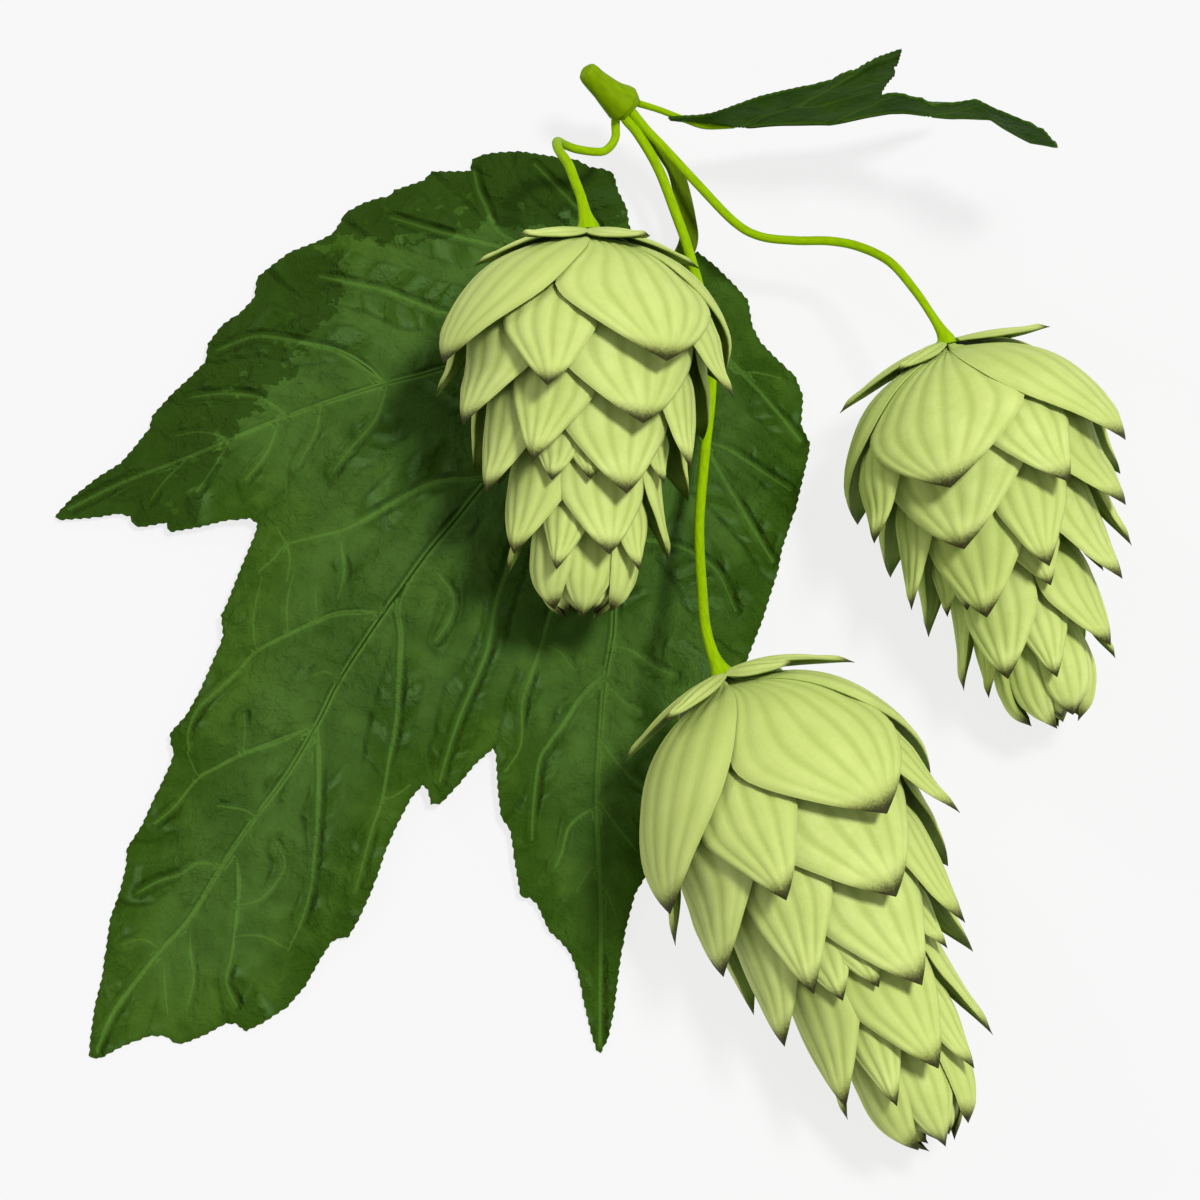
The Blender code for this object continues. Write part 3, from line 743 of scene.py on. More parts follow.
def make_leaf_finish(name, light, deep, vein, painted_sheen, dull, relief_depth):
    """Blade of a leaf: pale veins with a dark line beside them, and folded and mottled green between, with
    painted light and shade on the folds, wrinkles, hollows and vein grooves, and a painted sheen.
    """
    finish = Finish(name, 0.6, specular=0.045)
    place = finish.place()
    across, margin, quilt = finish.kept("leaf_marks")
    away, strength, edge = finish.kept("leaf_zones")
    along, border, _ = finish.kept("leaf_folds")
    patches = finish.noise(place, 0.055, 3.0, 0.55)
    mottle = finish.noise(place, 0.22, 4.0, 0.6)
    wrinkle = finish.noise(place, 0.62, 5.0, 0.62)
    grain = finish.noise(place, 3.0, 4.0, 0.6)
    bent = along + away * FOLD_SLANT + mottle * 2.5
    folds = finish.noise(finish.join(bent * 0.42, away * 0.06, 0.0), 1.0, 2.0, 0.45)
    between = border.step(1.6, 3.6) * away.step(0.3, 1.2)
    body = finish.mix((patches * 0.6 + mottle * 0.4).step(0.38, 0.6), deep, light)
    # Painted sheen: the middle of the blade, away from the rim, is paler and hazier.
    body = finish.mix(edge.step(1.5, 10.0) * 0.3, body, painted_sheen)
    # Painted light and shade of the folds: paler along their crests, darker in their troughs.
    body = finish.mix(folds.step(0.5, 0.62) * between * 0.8, body, painted_sheen)
    body = finish.mix(folds.fade(0.4, 0.5) * between * 0.7, body, deep)
    blistered = finish.noise(place, 0.09, 2.0, 0.5).step(0.42, 0.6)
    rough_patch = 0.35 + blistered * 0.65
    # A paler fine grain, and painted light and shade of the wrinkles: paler on their crests, darker between
    # them.
    grain_and_painted_wrinkle_light = grain.step(0.4, 0.8) * 0.2 + wrinkle.step(0.5, 0.72) * rough_patch * 0.35
    body = finish.mix(grain_and_painted_wrinkle_light, body, light)
    body = finish.mix(wrinkle.fade(0.28, 0.46) * rough_patch * 0.35, body, deep)
    # Painted shade where the quilted blade sinks low, away from the veins.
    hollow_painted_shade = quilt.fade(-0.12, 0.3) * away.step(0.4, 1.2)
    body = finish.mix(hollow_painted_shade * 0.45, body, deep)
    # Painted sheen in patches beside the stronger veins.
    near = away.fade(0.5, 9.0) * strength.step(0.2, 0.45)
    body = finish.mix(near * patches.step(0.35, 0.6) * 0.5, body, painted_sheen)
    ragged = margin + (finish.noise(place, 0.42, 3.0, 0.72) - 0.5) * 8.0
    streaks = finish.noise(place, 0.55, 2.0, 0.4).step(0.6, 0.63) * margin.fade(3.0, 6.5)
    shaded = ragged.step(-0.15, 0.15) * (1.0 - streaks * 0.8)
    body = finish.mix(shaded * 0.8, body, dull)
    line = across.math("ABSOLUTE", across)
    close = (away / strength).fade(2.8, 3.8)
    shadow_line = across.step(1.0, 1.8) * across.fade(2.2, 3.4) * close * strength.step(0.12, 0.3)
    body = finish.mix(shadow_line * 0.5, body, colour(30, 50, 10))
    lit_line = line.fade(0.5, 2.0) * close * (0.3 + strength * 1.6) * (1.0 - shaded * 0.4)
    body = finish.mix(lit_line, body, vein)
    # Painted shade of a groove: a dark line down the middle of the stronger veins.
    groove_painted_shade = line.fade(0.2, 0.7) * close * strength.step(0.2, 0.3)
    body = finish.mix(groove_painted_shade * 0.9, body, colour(26, 50, 8))
    body = finish.mix(edge.fade(0.1, 0.6) * 0.4, body, deep)
    finish.put("Base Color", body)
    finish.put("Roughness", 0.56 + shaded * 0.1 + grain * 0.1)
    relief = mottle * 0.4 + wrinkle * rough_patch * 0.5 + grain * 0.06 + folds * between * 0.6
    finish.bump(relief, relief_depth)
    return finish.material


large_veins = [(width, curve_through(on_leaf(pixels), VEIN_STEPS)) for width, pixels in LARGE_VEINS]
large_rim = toothed(on_leaf(LARGE_RIM), RIM_STEP, TOOTH_LENGTH, TOOTH_DEPTH)
plan, triangles = blade_plan(large_rim, large_veins, LEAF_POINT_STEP)
away, width, side, folds = vein_relief(plan, large_veins)
edge_away = nearest_run(plan, [np.vstack((large_rim, large_rim[:1]))])[0]
dark_line = on_leaf(DARK_EDGE)
dark_corners = [under_pixel(px, py, 0.0)[:2] for px, py in DARK_CORNERS]
dark_away = nearest_run(plan, [dark_line])[0]
dark_side = np.where(inside(plan, np.vstack((dark_line, dark_corners))), 1.0, -1.0) * dark_away
quilt = QUILT_RISE * beyond(away, QUILT_REACH) * inward(edge_away, 3.0)
cord = CORD_RISE * width * (1.0 - beyond(away, width)) * inward(edge_away, 1.5)
ripple = WAVE_RISE * waves(plan[:, 0], plan[:, 1], 3, WAVE_LENGTH)
wrinkles = WRINKLE_RISE * waves(plan[:, 0], plan[:, 1], 5, WRINKLE_LENGTH) * beyond(away, 1.2)
wrinkles *= 0.6 + waves(plan[:, 0], plan[:, 1], 6, WRINKLE_PATCH)
bend = FOLD_BEND * waves(plan[:, 0], plan[:, 1], 9, FOLD_BEND_LENGTH)
fold_way = folds[:, 0] + FOLD_SLANT * away
between_veins = beyond(away, 1.0) * beyond(folds[:, 1], 2.2)
wrinkles += FOLD_RISE * np.sin(2.0 * math.pi * fold_way / FOLD_PITCH + bend) * between_veins
quilt += wrinkles * inward(edge_away, 2.0)
top = dome_height(plan[:, 0], plan[:, 1]) + quilt + cord + ripple - SEAT_DROP
top = np.maximum(top, LEAF_SHEET + SEAT_GAP)
points, faces = sheet_shell(plan, triangles, top, top - LEAF_SHEET)
marks = np.column_stack((side * away / width, dark_side, quilt))
zones = np.column_stack((away, width, edge_away))
leaf_kept = {"leaf_marks": np.vstack((marks, marks)), "leaf_zones": np.vstack((zones, zones))}
leaf_kept["leaf_folds"] = np.vstack((folds, folds))
leaf_skin = make_leaf_finish(
    "large_leaf_green",
    colour(68, 101, 29),
    colour(47, 77, 11),
    colour(88, 128, 48),
    colour(78, 112, 56),
    colour(42, 66, 13),
    2.4,
)
add_piece("large_leaf", points, faces, leaf_skin, "leaf_large", leaf_kept)


# The small leaf: a young blade folded along its midrib, standing on edge beside the stub, so that the
# view meets it edge-on. It is darker than the large one, with the same fine teeth.

# The way from the sprig to the eye
SEEN_FROM = np.array((0.0, -0.26, 0.966))
SMALL_BASE = np.array((18.3, 59.6, 14.5))
SMALL_ALONG = np.array((0.966, -0.085, 0.25))
SMALL_LEAN = math.radians(5.0)
SMALL_FOLD = 0.27
SMALL_LOWER_SHARE = 0.86
SMALL_POINT_STEP = 0.6
SMALL_TOOTH_DEPTH = 0.2
SMALL_QUILT_RISE = 0.25
SMALL_WRINKLE_RISE = 0.16
SMALL_WRINKLE_LENGTH = 6.0
# The fold and the rim of the half that is nearer to the eye, by the pixels where they are seen
SMALL_FOLD_SEEN = (
    (667, 121), (700, 124), (733, 127), (760, 125), (800, 124), (830, 124), (850, 120), (874, 116),
    (890, 113), (904, 113), (928, 116), (952, 119), (980, 119), (990, 119), (1003, 128), (1018, 136),
    (1030, 142), (1048, 146), (1057, 148),
)
SMALL_RIM_SEEN = (
    (712, 124), (694, 122), (676, 121), (667, 119), (680, 118), (700, 117), (712, 115), (724, 111),
    (736, 106), (748, 102), (760, 98), (772, 95), (790, 91), (803, 88), (814, 82), (826, 77),
    (834, 72), (846, 67), (848, 68), (860, 61), (872, 61), (884, 57), (901, 51), (897, 66),
    (893, 67), (895, 75), (886, 85), (882, 92), (878, 97), (890, 95), (904, 96), (912, 99),
    (922, 100), (928, 104), (935, 107), (946, 105), (958, 104), (976, 101), (984, 105), (1004, 114),
    (1018, 120), (1032, 125), (1036, 129), (1043, 131), (1049, 138),
)
# Number of the rim point at the tip of the lobe
SMALL_LOBE_TIP = 22
# Half-width at its start, and the line of each vein: along the fold and out over the near half
SMALL_VEINS = (
    (0.4, ((-0.2, 0.0), (14.0, 0.0), (28.0, 0.0), (40.0, 0.0))),
    (0.16, ((8.0, 4.6), (13.0, 5.2), (19.0, 6.4))),
    (0.16, ((12.0, 0.0), (16.0, 2.2), (20.0, 4.0))),
    (0.16, ((24.0, 0.0), (28.0, 2.2), (32.0, 4.2))),
    (0.14, ((31.0, 0.0), (34.0, 1.8), (37.0, 3.0))),
)

forward = SMALL_ALONG / np.linalg.norm(SMALL_ALONG)
seen = SEEN_FROM / np.linalg.norm(SEEN_FROM)
across = seen * math.cos(SMALL_LEAN) + np.cross((1.0, 0.0, 0.0), -seen) * math.sin(SMALL_LEAN)
across -= forward * across.dot(forward)
across /= np.linalg.norm(across)
small_frame = np.array((forward, across, np.cross(forward, across)))


def beside_fold(px, py, depth):
    """Where a pixel's ray passes the small leaf at that depth before its fold, in the leaf's own frame."""
    start = under_pixel(px, py, 20.0) - SMALL_BASE
    ray = small_frame @ (start + SMALL_BASE - eye)
    start = small_frame @ start
    return start + ray * (depth - start[1]) / ray[1]


small_bend = [beside_fold(px, py, 0.0)[[0, 2]] for px, py in SMALL_FOLD_SEEN]
near_half = []
for px, py in SMALL_RIM_SEEN:
    depth = 0.0
    for _ in range(12):
        along, _, rise = beside_fold(px, py, depth)
        depth = max(0.15, (np.interp(along, *zip(*small_bend)) - rise) / SMALL_FOLD)
    near_half.append((along, depth))
far_half = [(along, -depth * SMALL_LOWER_SHARE) for along, depth in reversed(near_half)]
lobe_tip = np.array(near_half[SMALL_LOBE_TIP])
lobe_vein = (0.28, ((0.5, 0.0), lobe_tip * (0.35, 0.28), lobe_tip * (0.68, 0.62), lobe_tip * (0.95, 0.92)))
small_veins = [SMALL_VEINS[0]]
for width, line in (lobe_vein,) + SMALL_VEINS[1:]:
    small_veins += [(width, line), (width, [(along, -depth * SMALL_LOWER_SHARE) for along, depth in line])]
small_veins = [(width, np.array(line)) for width, line in small_veins]
small_tip = (small_bend[-1][0], 0.0)
small_outline = np.array([(-0.3, 0.0)] + near_half + [small_tip] + far_half)
small_rim = toothed(small_outline, RIM_STEP, TOOTH_LENGTH, SMALL_TOOTH_DEPTH)
plan, triangles = blade_plan(small_rim, small_veins, SMALL_POINT_STEP)
away, width, side, folds = vein_relief(plan, small_veins)
edge_away = nearest_run(plan, [np.vstack((small_rim, small_rim[:1]))])[0]
bend = np.interp(plan[:, 0], *zip(*small_bend))
quilt = SMALL_QUILT_RISE * beyond(away, 1.8)
quilt += SMALL_WRINKLE_RISE * waves(plan[:, 0], plan[:, 1], 8, SMALL_WRINKLE_LENGTH)
quilt *= inward(edge_away, 2.0)
cord = CORD_RISE * width * (1.0 - beyond(away, 0.75 * width))
top = bend - SMALL_FOLD * np.abs(plan[:, 1]) + quilt + cord
flat_points, faces = sheet_shell(plan, triangles, top, top - LEAF_SHEET)
marks = np.column_stack((side * away / width, np.full(len(plan), -8.0), quilt))
zones = np.column_stack((away, width, edge_away))
small_kept = {"leaf_marks": np.vstack((marks, marks)), "leaf_zones": np.vstack((zones, zones))}
small_kept["leaf_folds"] = np.vstack((folds, folds))
small_skin = make_leaf_finish(
    "small_leaf_green",
    colour(66, 102, 20),
    colour(48, 82, 8),
    colour(92, 128, 40),
    colour(68, 102, 30),
    colour(38, 60, 10),
    1.2,
)
add_piece(
    "small_leaf",
    SMALL_BASE + flat_points @ small_frame,
    faces,
    small_skin,
    "leaf_small",
    small_kept,
)


# The cones: papery bracts, ribbed lengthwise, in overlapping tiers on a thin core. Each is a kite that
# hugs the cone and ends in a small brown beak. The wide ones are pieces of their own. The narrow ones
# between them, the slender ones under the stalk and the cluster at the tip grow on the core.

BRACT_ACROSS = 42
BRACT_DOWN = 26
RIB_RISE = 0.18
KEEL_RISE = 0.32
PAPER = 0.4
TIER_PITCH = 1.5
FLARE_START = 0.45
EDGE_DROP = 0.5
RIM_ROUNDING = 0.25
INNER_DEPTH = 0.9
CORE_START = 0.04
CORE_TOP = 2.0
CORE_END = 1.1
BUD_END = 0.985
BUD_DEPTH = 4.0
SHUT_LAYER = 8
CORE_SIDES = 24
INNER_PAIR = (1, 3)

# Radius of a cone along its length, as a share of its largest radius
CONE_PROFILE = (
    (0.0, 0.03), (0.028, 0.09), (0.04, 0.24), (0.055, 0.4), (0.078, 0.55), (0.105, 0.67),
    (0.15, 0.8), (0.20, 0.895), (0.25, 0.96), (0.30, 0.995), (0.35, 0.995), (0.40, 0.965),
    (0.50, 0.875), (0.60, 0.785), (0.70, 0.695), (0.80, 0.595), (0.90, 0.445), (0.95, 0.31),
    (1.0, 0.11),
)
# Layer that shows at each share of the length
LAYER_SHOWN = (
    (0.0, -0.1), (0.12, 0.0), (0.35, 0.0), (0.435, 1.0), (0.515, 2.0), (0.605, 3.0),
    (0.685, 4.0), (0.76, 5.0), (0.832, 6.0), (0.88, 6.8), (0.985, 8.0), (1.0, 8.1),
)
# Half-width of a bract from its shoulders to its tip, then from its base to its shoulders: for the pair
# that closes the top of the cone, the pair under that one, and all the others. The shut edge is for the
# cluster at the tip, whose bracts stay broad to the end.
LOWER_EDGE = (
    (0.56, 0.92), (0.65, 0.76), (0.74, 0.58), (0.84, 0.375), (0.93, 0.175), (0.975, 0.065), (1.0, 0.005),
)
SHUT_EDGE = ((0.58, 0.98), (0.72, 0.9), (0.84, 0.72), (0.92, 0.48), (0.97, 0.22), (1.0, 0.01))
CLOSING_TOP = ((0.0, 1.5), (0.12, 1.45), (0.32, 1.22), (0.42, 1.1), (0.5, 1.0))
INNER_TOP = ((0.0, 0.62), (0.12, 0.7), (0.25, 0.86), (0.38, 1.0), (0.47, 1.01))
HIDDEN_TOP = ((0.0, 0.85), (0.2, 0.97), (0.4, 1.02), (0.48, 0.99))
# A tier: the layer it lies in, the base, tip and ramp off the core in shares of the cone's length, the
# half-angle of a bract, the columns round the cone, how far the tips flare and lean, and the ribs. Angles
# are in degrees.
Tier = namedtuple("Tier", "layer base tip ramp half columns flare lean ribs")
WIDE_TIERS = (
    Tier(0, 0.0, 0.372, 0.0, 47, (-65, 31, 117, 204), 0.8, 0, 7),
    Tier(2, 0.15, 0.522, 0.15, 43, (-64, 25, 116, 203), 0.8, 0, 6),
    Tier(4, 0.32, 0.69, 0.15, 37, (-60, 23, 110, 202), 0.8, 0, 5),
    Tier(6, 0.5, 0.843, 0.15, 39, (-50, 17, 97, 200), 0.8, 0, 5),
)
NARROW_TIERS = (
    Tier(1, 0.09, 0.436, 0.15, 24, (-18, 72, 160, 258), 1.7, 4, 5),
    Tier(3, 0.26, 0.62, 0.15, 24, (-18, 67, 150, 250), 0.8, -6, 5),
    Tier(5, 0.42, 0.658, 0.15, 23, (-19, 63, 4, 152, 252), 0.0, 0, 4),
    Tier(7, 0.6, 0.876, 0.15, 26, (-16, 55, 150, 262), 0.5, -4, 4),
    Tier(8, 0.68, 0.975, 0.15, 38, (-46, 74, 195), 0.0, -6, 4),
    Tier(8.5, 0.7, 0.995, 0.15, 38, (13, 130, 255), 0.0, -6, 4),
    Tier(9.3, 0.76, 0.975, 0.06, 40, (-14, 46, 110, 170, 230, 290), 0.0, 0, 3),
)
# Slender bracts of the hat under each stalk: column, height and reach of the tip, and tilt of the blade
SHOULDERS = {
    "cone_1": (
        (-51, -2.0, 10.5, -0.2),
        (44, -1.9, 10.5, 0.2),
        (-100, -4.9, 13.9, 0.15),
        (105, -4.5, 13.9, -0.15),
        (150, -4.0, 13.8, 0.0),
        (210, -4.0, 13.8, 0.0),
    ),
    "cone_2": (
        (-60, -2.3, 7.8, -0.2),
        (-105, -4.7, 15.0, 0.1),
        (100, -2.2, 12.8, 0.0),
        (127, -5.2, 14.6, -0.2),
        (172, -4.0, 13.8, 0.0),
        (215, -4.0, 13.8, 0.0),
    ),
    "cone_3": (
        (-43, -2.8, 12.0, -0.2),
        (62, -3.0, 9.2, 0.2),
        (-108, -5.1, 15.5, 0.15),
        (100, -5.9, 15.0, -0.15),
        (150, -4.5, 13.8, 0.0),
        (210, -4.5, 13.8, 0.0),
    ),
}
SHOULDER_HALF = 2.9
SHOULDER_START = CORE_TOP - 0.8
SHOULDER_RIBS = 4
SHOULDER_ARCH = 1.0
SHOULDER_FOOT = -0.3
# The largest radius, the roll in degrees, and which of the four columns is numbered first
Cone = namedtuple("Cone", "name hub tip radius roll first seed")
CONES = (
    Cone("cone_1", (0.6, 43.4, 24.6), (-0.3, -3.0, 14.7), 17.6, 0, 0, 11),
    Cone("cone_2", (43.3, 30.9, 19.6), (57.5, -14.7, 9.5), 17.0, -49, 1, 12),
    Cone("cone_3", (16.1, -10.8, 22.4), (42.4, -65.4, 9.4), 18.3, 0, 0, 13),
)

u_line = np.linspace(-1.0, 1.0, BRACT_ACROSS + 1)


def smooth_through(table, at):
    """A smooth curve through a table's points, looked up at some places."""
    x, y = np.array(table).T
    slope = np.diff(y) / np.diff(x)
    product = slope[1:] * slope[:-1]
    tangent = np.zeros(len(x))
    tangent[1:-1] = np.where(product > 0.0, 2.0 * product / (slope[1:] + slope[:-1] + 1e-12), 0.0)
    tangent[0] = slope[0]
    tangent[-1] = slope[-1]
    low = np.clip(np.searchsorted(x, at) - 1, 0, len(x) - 2)
    width = x[low + 1] - x[low]
    share = np.clip((at - x[low]) / width, 0.0, 1.0)
    start = share * (share - 1.0) ** 2 * tangent[low]
    finish = share**2 * (share - 1.0) * tangent[low + 1]
    return y[low] + (y[low + 1] - y[low]) * share**2 * (3.0 - 2.0 * share) + width * (start + finish)


def ease(values, low, high):
    """Smoothly from 0 at low to 1 at high."""
    share = np.clip((values - low) / (high - low), 0.0, 1.0)
    return share * share * (3.0 - 2.0 * share)


def even_rows(base, end, largest, length):
    """Shares of a cone's length at a bract's rows, evenly spaced over its surface."""
    shares = np.linspace(base, end, 300)
    radius = largest * smooth_through(CONE_PROFILE, shares)
    far = np.concatenate(((0.0,), np.cumsum(np.hypot(np.diff(radius), np.diff(shares) * length))))
    wanted = 1.0 - (1.0 - np.linspace(0.0, 1.0, BRACT_DOWN + 1)) ** 1.2
    return np.interp(wanted * far[-1], far, shares)


def bract_skin_points(cone, tier, column, outline_table, inner, random):
    """Outer skin of a bract that hugs the cone, in the cone's own frame, with its grid of places."""
    length = math.dist(cone.hub, cone.tip)
    end = tier.tip + random.uniform(-0.004, 0.004)
    share, u = np.meshgrid(even_rows(tier.base, end, cone.radius, length), u_line, indexing="ij")
    s = (share - tier.base) / (end - tier.base)
    depth = TIER_PITCH * (tier.layer - smooth_through(LAYER_SHOWN, share))
    if inner:
        depth += INNER_DEPTH * (1.0 - ease(s, 0.35, 0.65))
    radius = cone.radius * smooth_through(CONE_PROFILE, share) - depth
    if tier.ramp:
        start = CORE_TOP + (CORE_END - CORE_TOP) * share
        rise = np.minimum(1.0, (share - tier.base) / tier.ramp)
        radius = start + (radius - start) * np.sqrt(1.0 - (1.0 - rise) ** 2)
    radius += tier.flare * np.clip((s - FLARE_START) / (1.0 - FLARE_START), 0.0, 1.0) ** 1.3
    outline = smooth_through(outline_table, s)
    bent = EDGE_DROP * np.abs(u) ** 2.5 * ease(s, 0.1, 0.4) + RIM_ROUNDING * ease(np.abs(u), 0.86, 1.0)
    radius -= bent * np.minimum(1.0, outline / 0.5)
    radius += 0.1 * np.sin(2.4 * u * outline + 3.0 * s + random.uniform(0.0, 6.3))
    ripple = 1.0 + 0.015 * np.sin(9.0 * s + random.uniform(0.0, 6.3)) * ease(s, 0.2, 0.5)
    angle = tier.half * outline * u * ripple + tier.lean * ease(s, FLARE_START, 1.0)
    angle = np.radians(angle + column + cone.roll + random.uniform(-1.0, 1.0))
    outer = np.stack((radius * np.cos(angle), radius * np.sin(angle), -share * length), axis=-1)
    return outer, s, u


def shoulder_skin_points(column, drop, reach_end, tilt):
    """Outer skin of a slender bract that arches out under the stalk, with its grid of places."""
    s, u = np.meshgrid(np.linspace(0.0, 1.0, BRACT_DOWN + 1), u_line, indexing="ij")
    reach = SHOULDER_START + (reach_end - SHOULDER_START) * s
    half = SHOULDER_HALF * np.sin(math.pi * (0.2 + 0.797 * s)) ** 0.85
    bow = np.sin(math.pi * np.clip(0.15 + 0.85 * s, 0.0, 1.0))
    height = SHOULDER_FOOT + (drop - SHOULDER_FOOT) * s**2
    height -= (SHOULDER_ARCH * u**2 - tilt * u) * bow
    turn = math.radians(column)
    across = half * u
    x = reach * math.cos(turn) - across * math.sin(turn)
    y = reach * math.sin(turn) + across * math.cos(turn)
    return np.stack((x, y, height), axis=-1), s, u


def paper_shell(outer, s, u, ribs, random):
    """Closed skin of one bract: its ribbed outside, its smoother inside and the edge between them."""
    normal = np.cross(np.gradient(outer, axis=0), np.gradient(outer, axis=1))
    normal /= np.maximum(1e-9, np.linalg.norm(normal, axis=2))[..., None]
    drift = 0.05 * np.sin(math.pi * s + random.uniform(-1.0, 1.0))
    pillow = (0.5 + 0.5 * np.cos(math.pi * ribs * (u + drift))) ** 0.6
    keel = np.exp(-((u / 0.32) ** 2)) * ease(s, 0.7, 0.9) * (1.0 - ease(s, 0.88, 1.0))
    ribbed = ease(s, 0.0, 0.15) * (1.0 - ease(s, 0.72, 0.96)) * (1.0 - 0.7 * ease(np.abs(u), 0.65, 0.95))
    relief = RIB_RISE * (pillow - 1.0) * ribbed + KEEL_RISE * keel
    thickness = PAPER * (1.0 - 0.45 * ease(np.abs(u), 0.7, 1.0)) * (1.0 - 0.85 * ease(s, 0.75, 1.0))
    front = outer + normal * relief[..., None]
    back = outer + normal * (0.5 * relief - thickness)[..., None]
    rows, columns = s.shape
    count = rows * columns
    faces = []
    for i in range(rows - 1):
        for j in range(columns - 1):
            a = i * columns + j
            b = a + columns
            faces.append((a, b, b + 1, a + 1))
            faces.append((count + a, count + a + 1, count + b + 1, count + b))
    ring = list(range(columns))
    ring += [i * columns + columns - 1 for i in range(1, rows)]
    ring += [(rows - 1) * columns + j for j in range(columns - 2, -1, -1)]
    ring += [i * columns for i in range(rows - 2, 0, -1)]
    for a, b in zip(ring, ring[1:] + ring[:1]):
        faces.append((a, b, count + b, count + a))
    tone = random.uniform(0.0, 1.0)
    marks = np.stack((pillow, s, np.full(s.shape, tone)), axis=-1).reshape(-1, 3)
    outside = np.stack((np.abs(u), np.zeros(s.shape), u), axis=-1).reshape(-1, 3)
    # Inside faces are marked here for the finish's dark green painted shade.
    inside_face = outside + (0.0, 1.0, 0.0)
    points = np.vstack((front.reshape(-1, 3), back.reshape(-1, 3)))
    kept = {"bract_marks": np.vstack((marks, marks)), "bract_sides": np.vstack((outside, inside_face))}
    return points, faces, kept


def gather(shells):
    """Several closed skins as one mesh."""
    faces = []
    count = 0
    for shell_points, shell_faces, shell_kept in shells:
        faces += [tuple(corner + count for corner in face) for face in shell_faces]
        count += len(shell_points)
    kept = {label: np.vstack([shell[2][label] for shell in shells]) for label in shells[0][2]}
    return np.vstack([shell[0] for shell in shells]), faces, kept


def cone_frame(hub, tip):
    """Rows: the side that is seen, the side to its right, and the way to the stalk."""
    up = np.array(hub) - np.array(tip)
    up /= np.linalg.norm(up)
    front = SEEN_FROM - up * SEEN_FROM.dot(up)
    front /= np.linalg.norm(front)
    return np.array((front, np.cross(up, front), up))


def make_bract_finish():
    """Dry papery green: pale ribs with darker furrows between, mottled, with a brown beak and rim, painted
    shade towards the base and along the edges, and dark green painted shade on the inside faces.
    """
    finish = Finish("bract_green", 0.62, specular=0.14)
    pillow, s, tone = finish.kept("bract_marks")
    side, back, u = finish.kept("bract_sides")
    place = finish.place()
    furrow = pillow.fade(0.0, 0.8) * s.step(0.08, 0.3) * s.fade(0.7, 0.95) * side.fade(0.6, 1.0)
    mottle = finish.noise(place, 0.3, 4.0, 0.6)
    grain = finish.noise(finish.join(u * 9.0, s * 2.2, tone * 40.0), 1.6, 5.0, 0.65)
    speckle = finish.noise(place, 3.2, 3.0, 0.6)
    pale = finish.mix(mottle.step(0.3, 0.7), colour(200, 216, 122), colour(212, 227, 136))
    pale = finish.mix(tone * 0.6, pale, colour(194, 210, 114))
    body = finish.mix(furrow * 0.6, pale, colour(168, 186, 92))
    body = finish.mix(grain.step(0.45, 0.8) * 0.3, body, colour(180, 198, 104))
    body = finish.mix(speckle.step(0.5, 0.8) * 0.2, body, colour(222, 234, 152))
    # Painted shade: darker towards each bract's base, where it comes out from under the bracts above.
    body = finish.mix(s.fade(0.1, 0.55) * 0.35, body, colour(160, 180, 84))
    # Painted shade: a darker line along the side edges, away from the base.
    rim = side.step(0.88, 1.0) * s.step(0.2, 0.6)
    body = finish.mix(rim * 0.3, body, colour(140, 150, 72))
    blot = (speckle - 0.5) * 0.06
    edge_scorch = side.step(0.6, 1.0) * (s + blot).step(0.82, 0.95)
    body = finish.mix(edge_scorch * 0.6, body, colour(116, 122, 52))
    scorch = (s + side * 0.03 + blot).step(0.85, 0.97)
    body = finish.mix(scorch * 0.75, body, colour(104, 108, 42))
    body = finish.mix((s + side * 0.02 + blot).step(0.9, 0.98) * 0.95, body, colour(46, 44, 14))
    # Painted shade: the inside faces, and the whole core, are dark green.
    body = finish.mix(back.step(0.3, 0.8) * 0.75, body, colour(88, 116, 36))
    finish.put("Base Color", body)
    finish.bump(grain * 0.5 + speckle * 0.5, 0.12, 0.6)
    return finish.material


bract_skin = make_bract_finish()


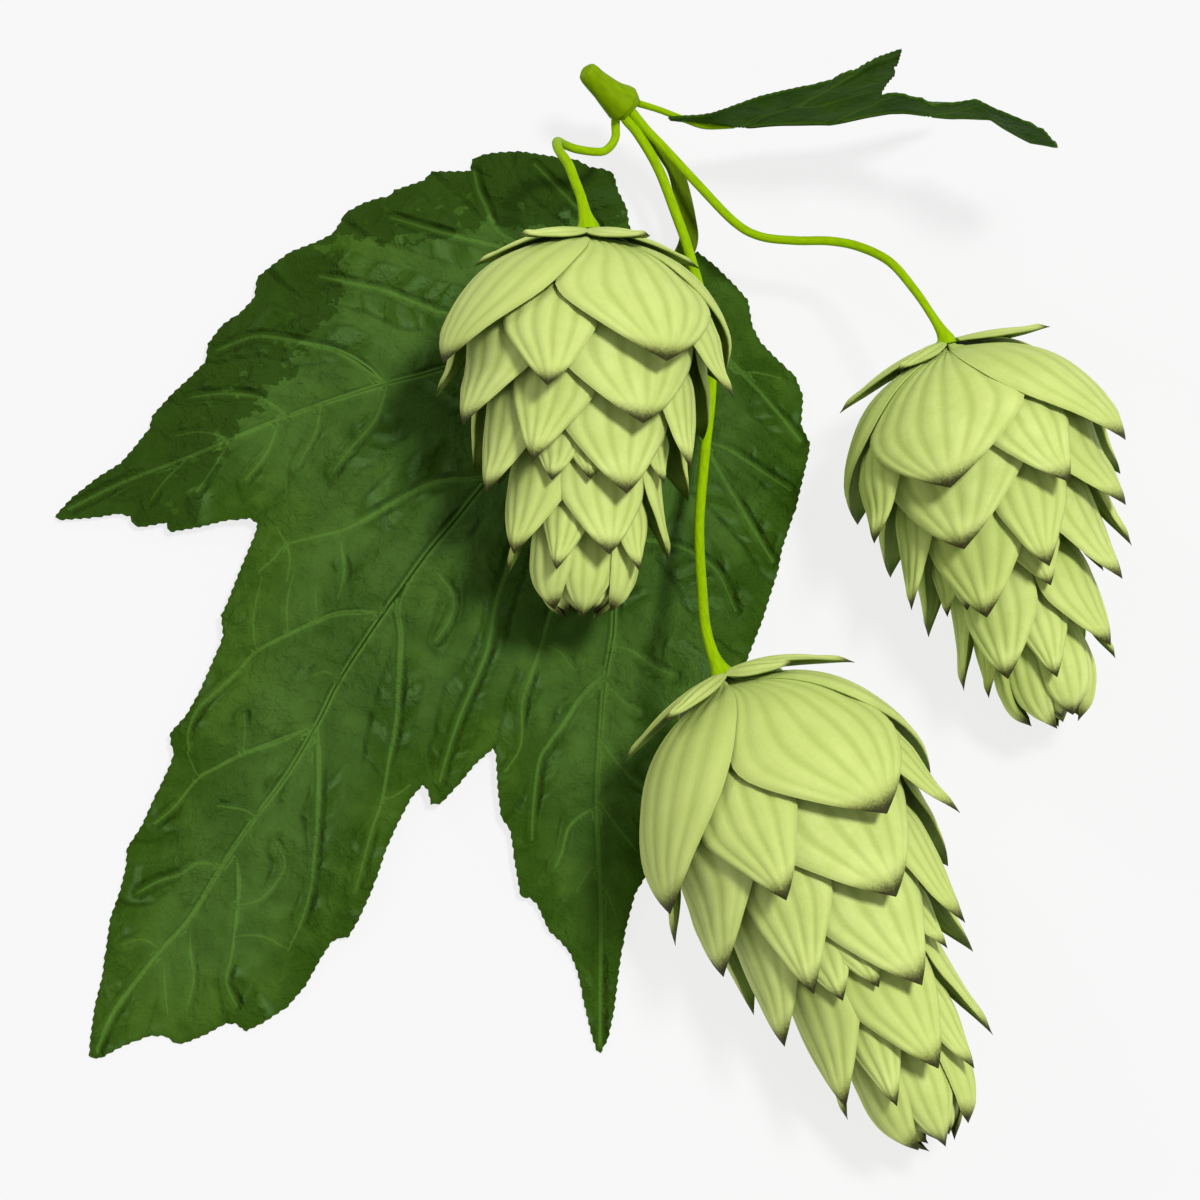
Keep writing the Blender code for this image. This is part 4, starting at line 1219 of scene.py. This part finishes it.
def core_shell(cone):
    """The core of a cone: thin under the stalk, and a shut green bud at the tip."""
    length = math.dist(cone.hub, cone.tip)
    shares = np.linspace(CORE_START, BUD_END, CORE_SIDES)
    path = np.column_stack((np.zeros(CORE_SIDES), np.zeros(CORE_SIDES), -shares * length))
    radii = CORE_TOP + (CORE_END - CORE_TOP) * shares
    bud = cone.radius * smooth_through(CONE_PROFILE, shares) - BUD_DEPTH
    radii = np.maximum(radii * (1.0 - ease(shares, 0.9, BUD_END)), bud * ease(shares, 0.8, 0.9))
    points, faces, kept = swept(path, radii, round_section(CORE_SIDES), (1.0, 0.0, 0.0))
    plain = np.tile((0.5, 0.3, 0.5), (len(points), 1))
    # Every point of the core counts as an inside face, so it takes the dark green painted shade.
    return points, faces, {"bract_marks": plain, "bract_sides": np.tile((0.0, 1.0, 0.0), (len(points), 1))}


def wide_bract_shell(cone, number, which, random):
    """One of the four bracts of a wide tier. The first tier has a pair that closes the top over another."""
    tier = WIDE_TIERS[number - 1]
    inner = number == 1 and which in INNER_PAIR
    top_outline = HIDDEN_TOP
    if number == 1:
        top_outline = INNER_TOP if inner else CLOSING_TOP
    skin = bract_skin_points(cone, tier, tier.columns[which], top_outline + LOWER_EDGE, inner, random)
    return paper_shell(*skin, tier.ribs, random)


def core_and_narrow_shells(cone, random):
    """The core with all that grows on it: the narrow bracts, the cluster at the tip and the hat."""
    shells = [core_shell(cone)]
    for tier in NARROW_TIERS:
        lower_outline = SHUT_EDGE if tier.layer >= SHUT_LAYER else LOWER_EDGE
        for column in tier.columns:
            skin = bract_skin_points(cone, tier, column, HIDDEN_TOP + lower_outline, False, random)
            shells.append(paper_shell(*skin, tier.ribs, random))
    for column, drop, reach, tilt in SHOULDERS[cone.name]:
        skin = shoulder_skin_points(column, drop, reach, tilt)
        shells.append(paper_shell(*skin, SHOULDER_RIBS, random))
    return shells


for cone in CONES:
    axes = cone_frame(cone.hub, cone.tip)
    random = np.random.default_rng(cone.seed)
    for number in range(1, len(WIDE_TIERS) + 1):
        for place in range(4):
            points, faces, kept = wide_bract_shell(cone, number, (place + cone.first) % 4, random)
            points = np.array(cone.hub) + points @ axes
            label = f"{cone.name}_wide_bract_{number}_{place + 1}"
            node = f"{cone.name}_tier_{number}_bract_{place + 1}"
            add_piece(label, points, faces, bract_skin, node, kept)
    points, faces, kept = gather(core_and_narrow_shells(cone, random))
    points = np.array(cone.hub) + points @ axes
    add_piece(f"{cone.name}_core", points, faces, bract_skin, f"{cone.name}_strig", kept)
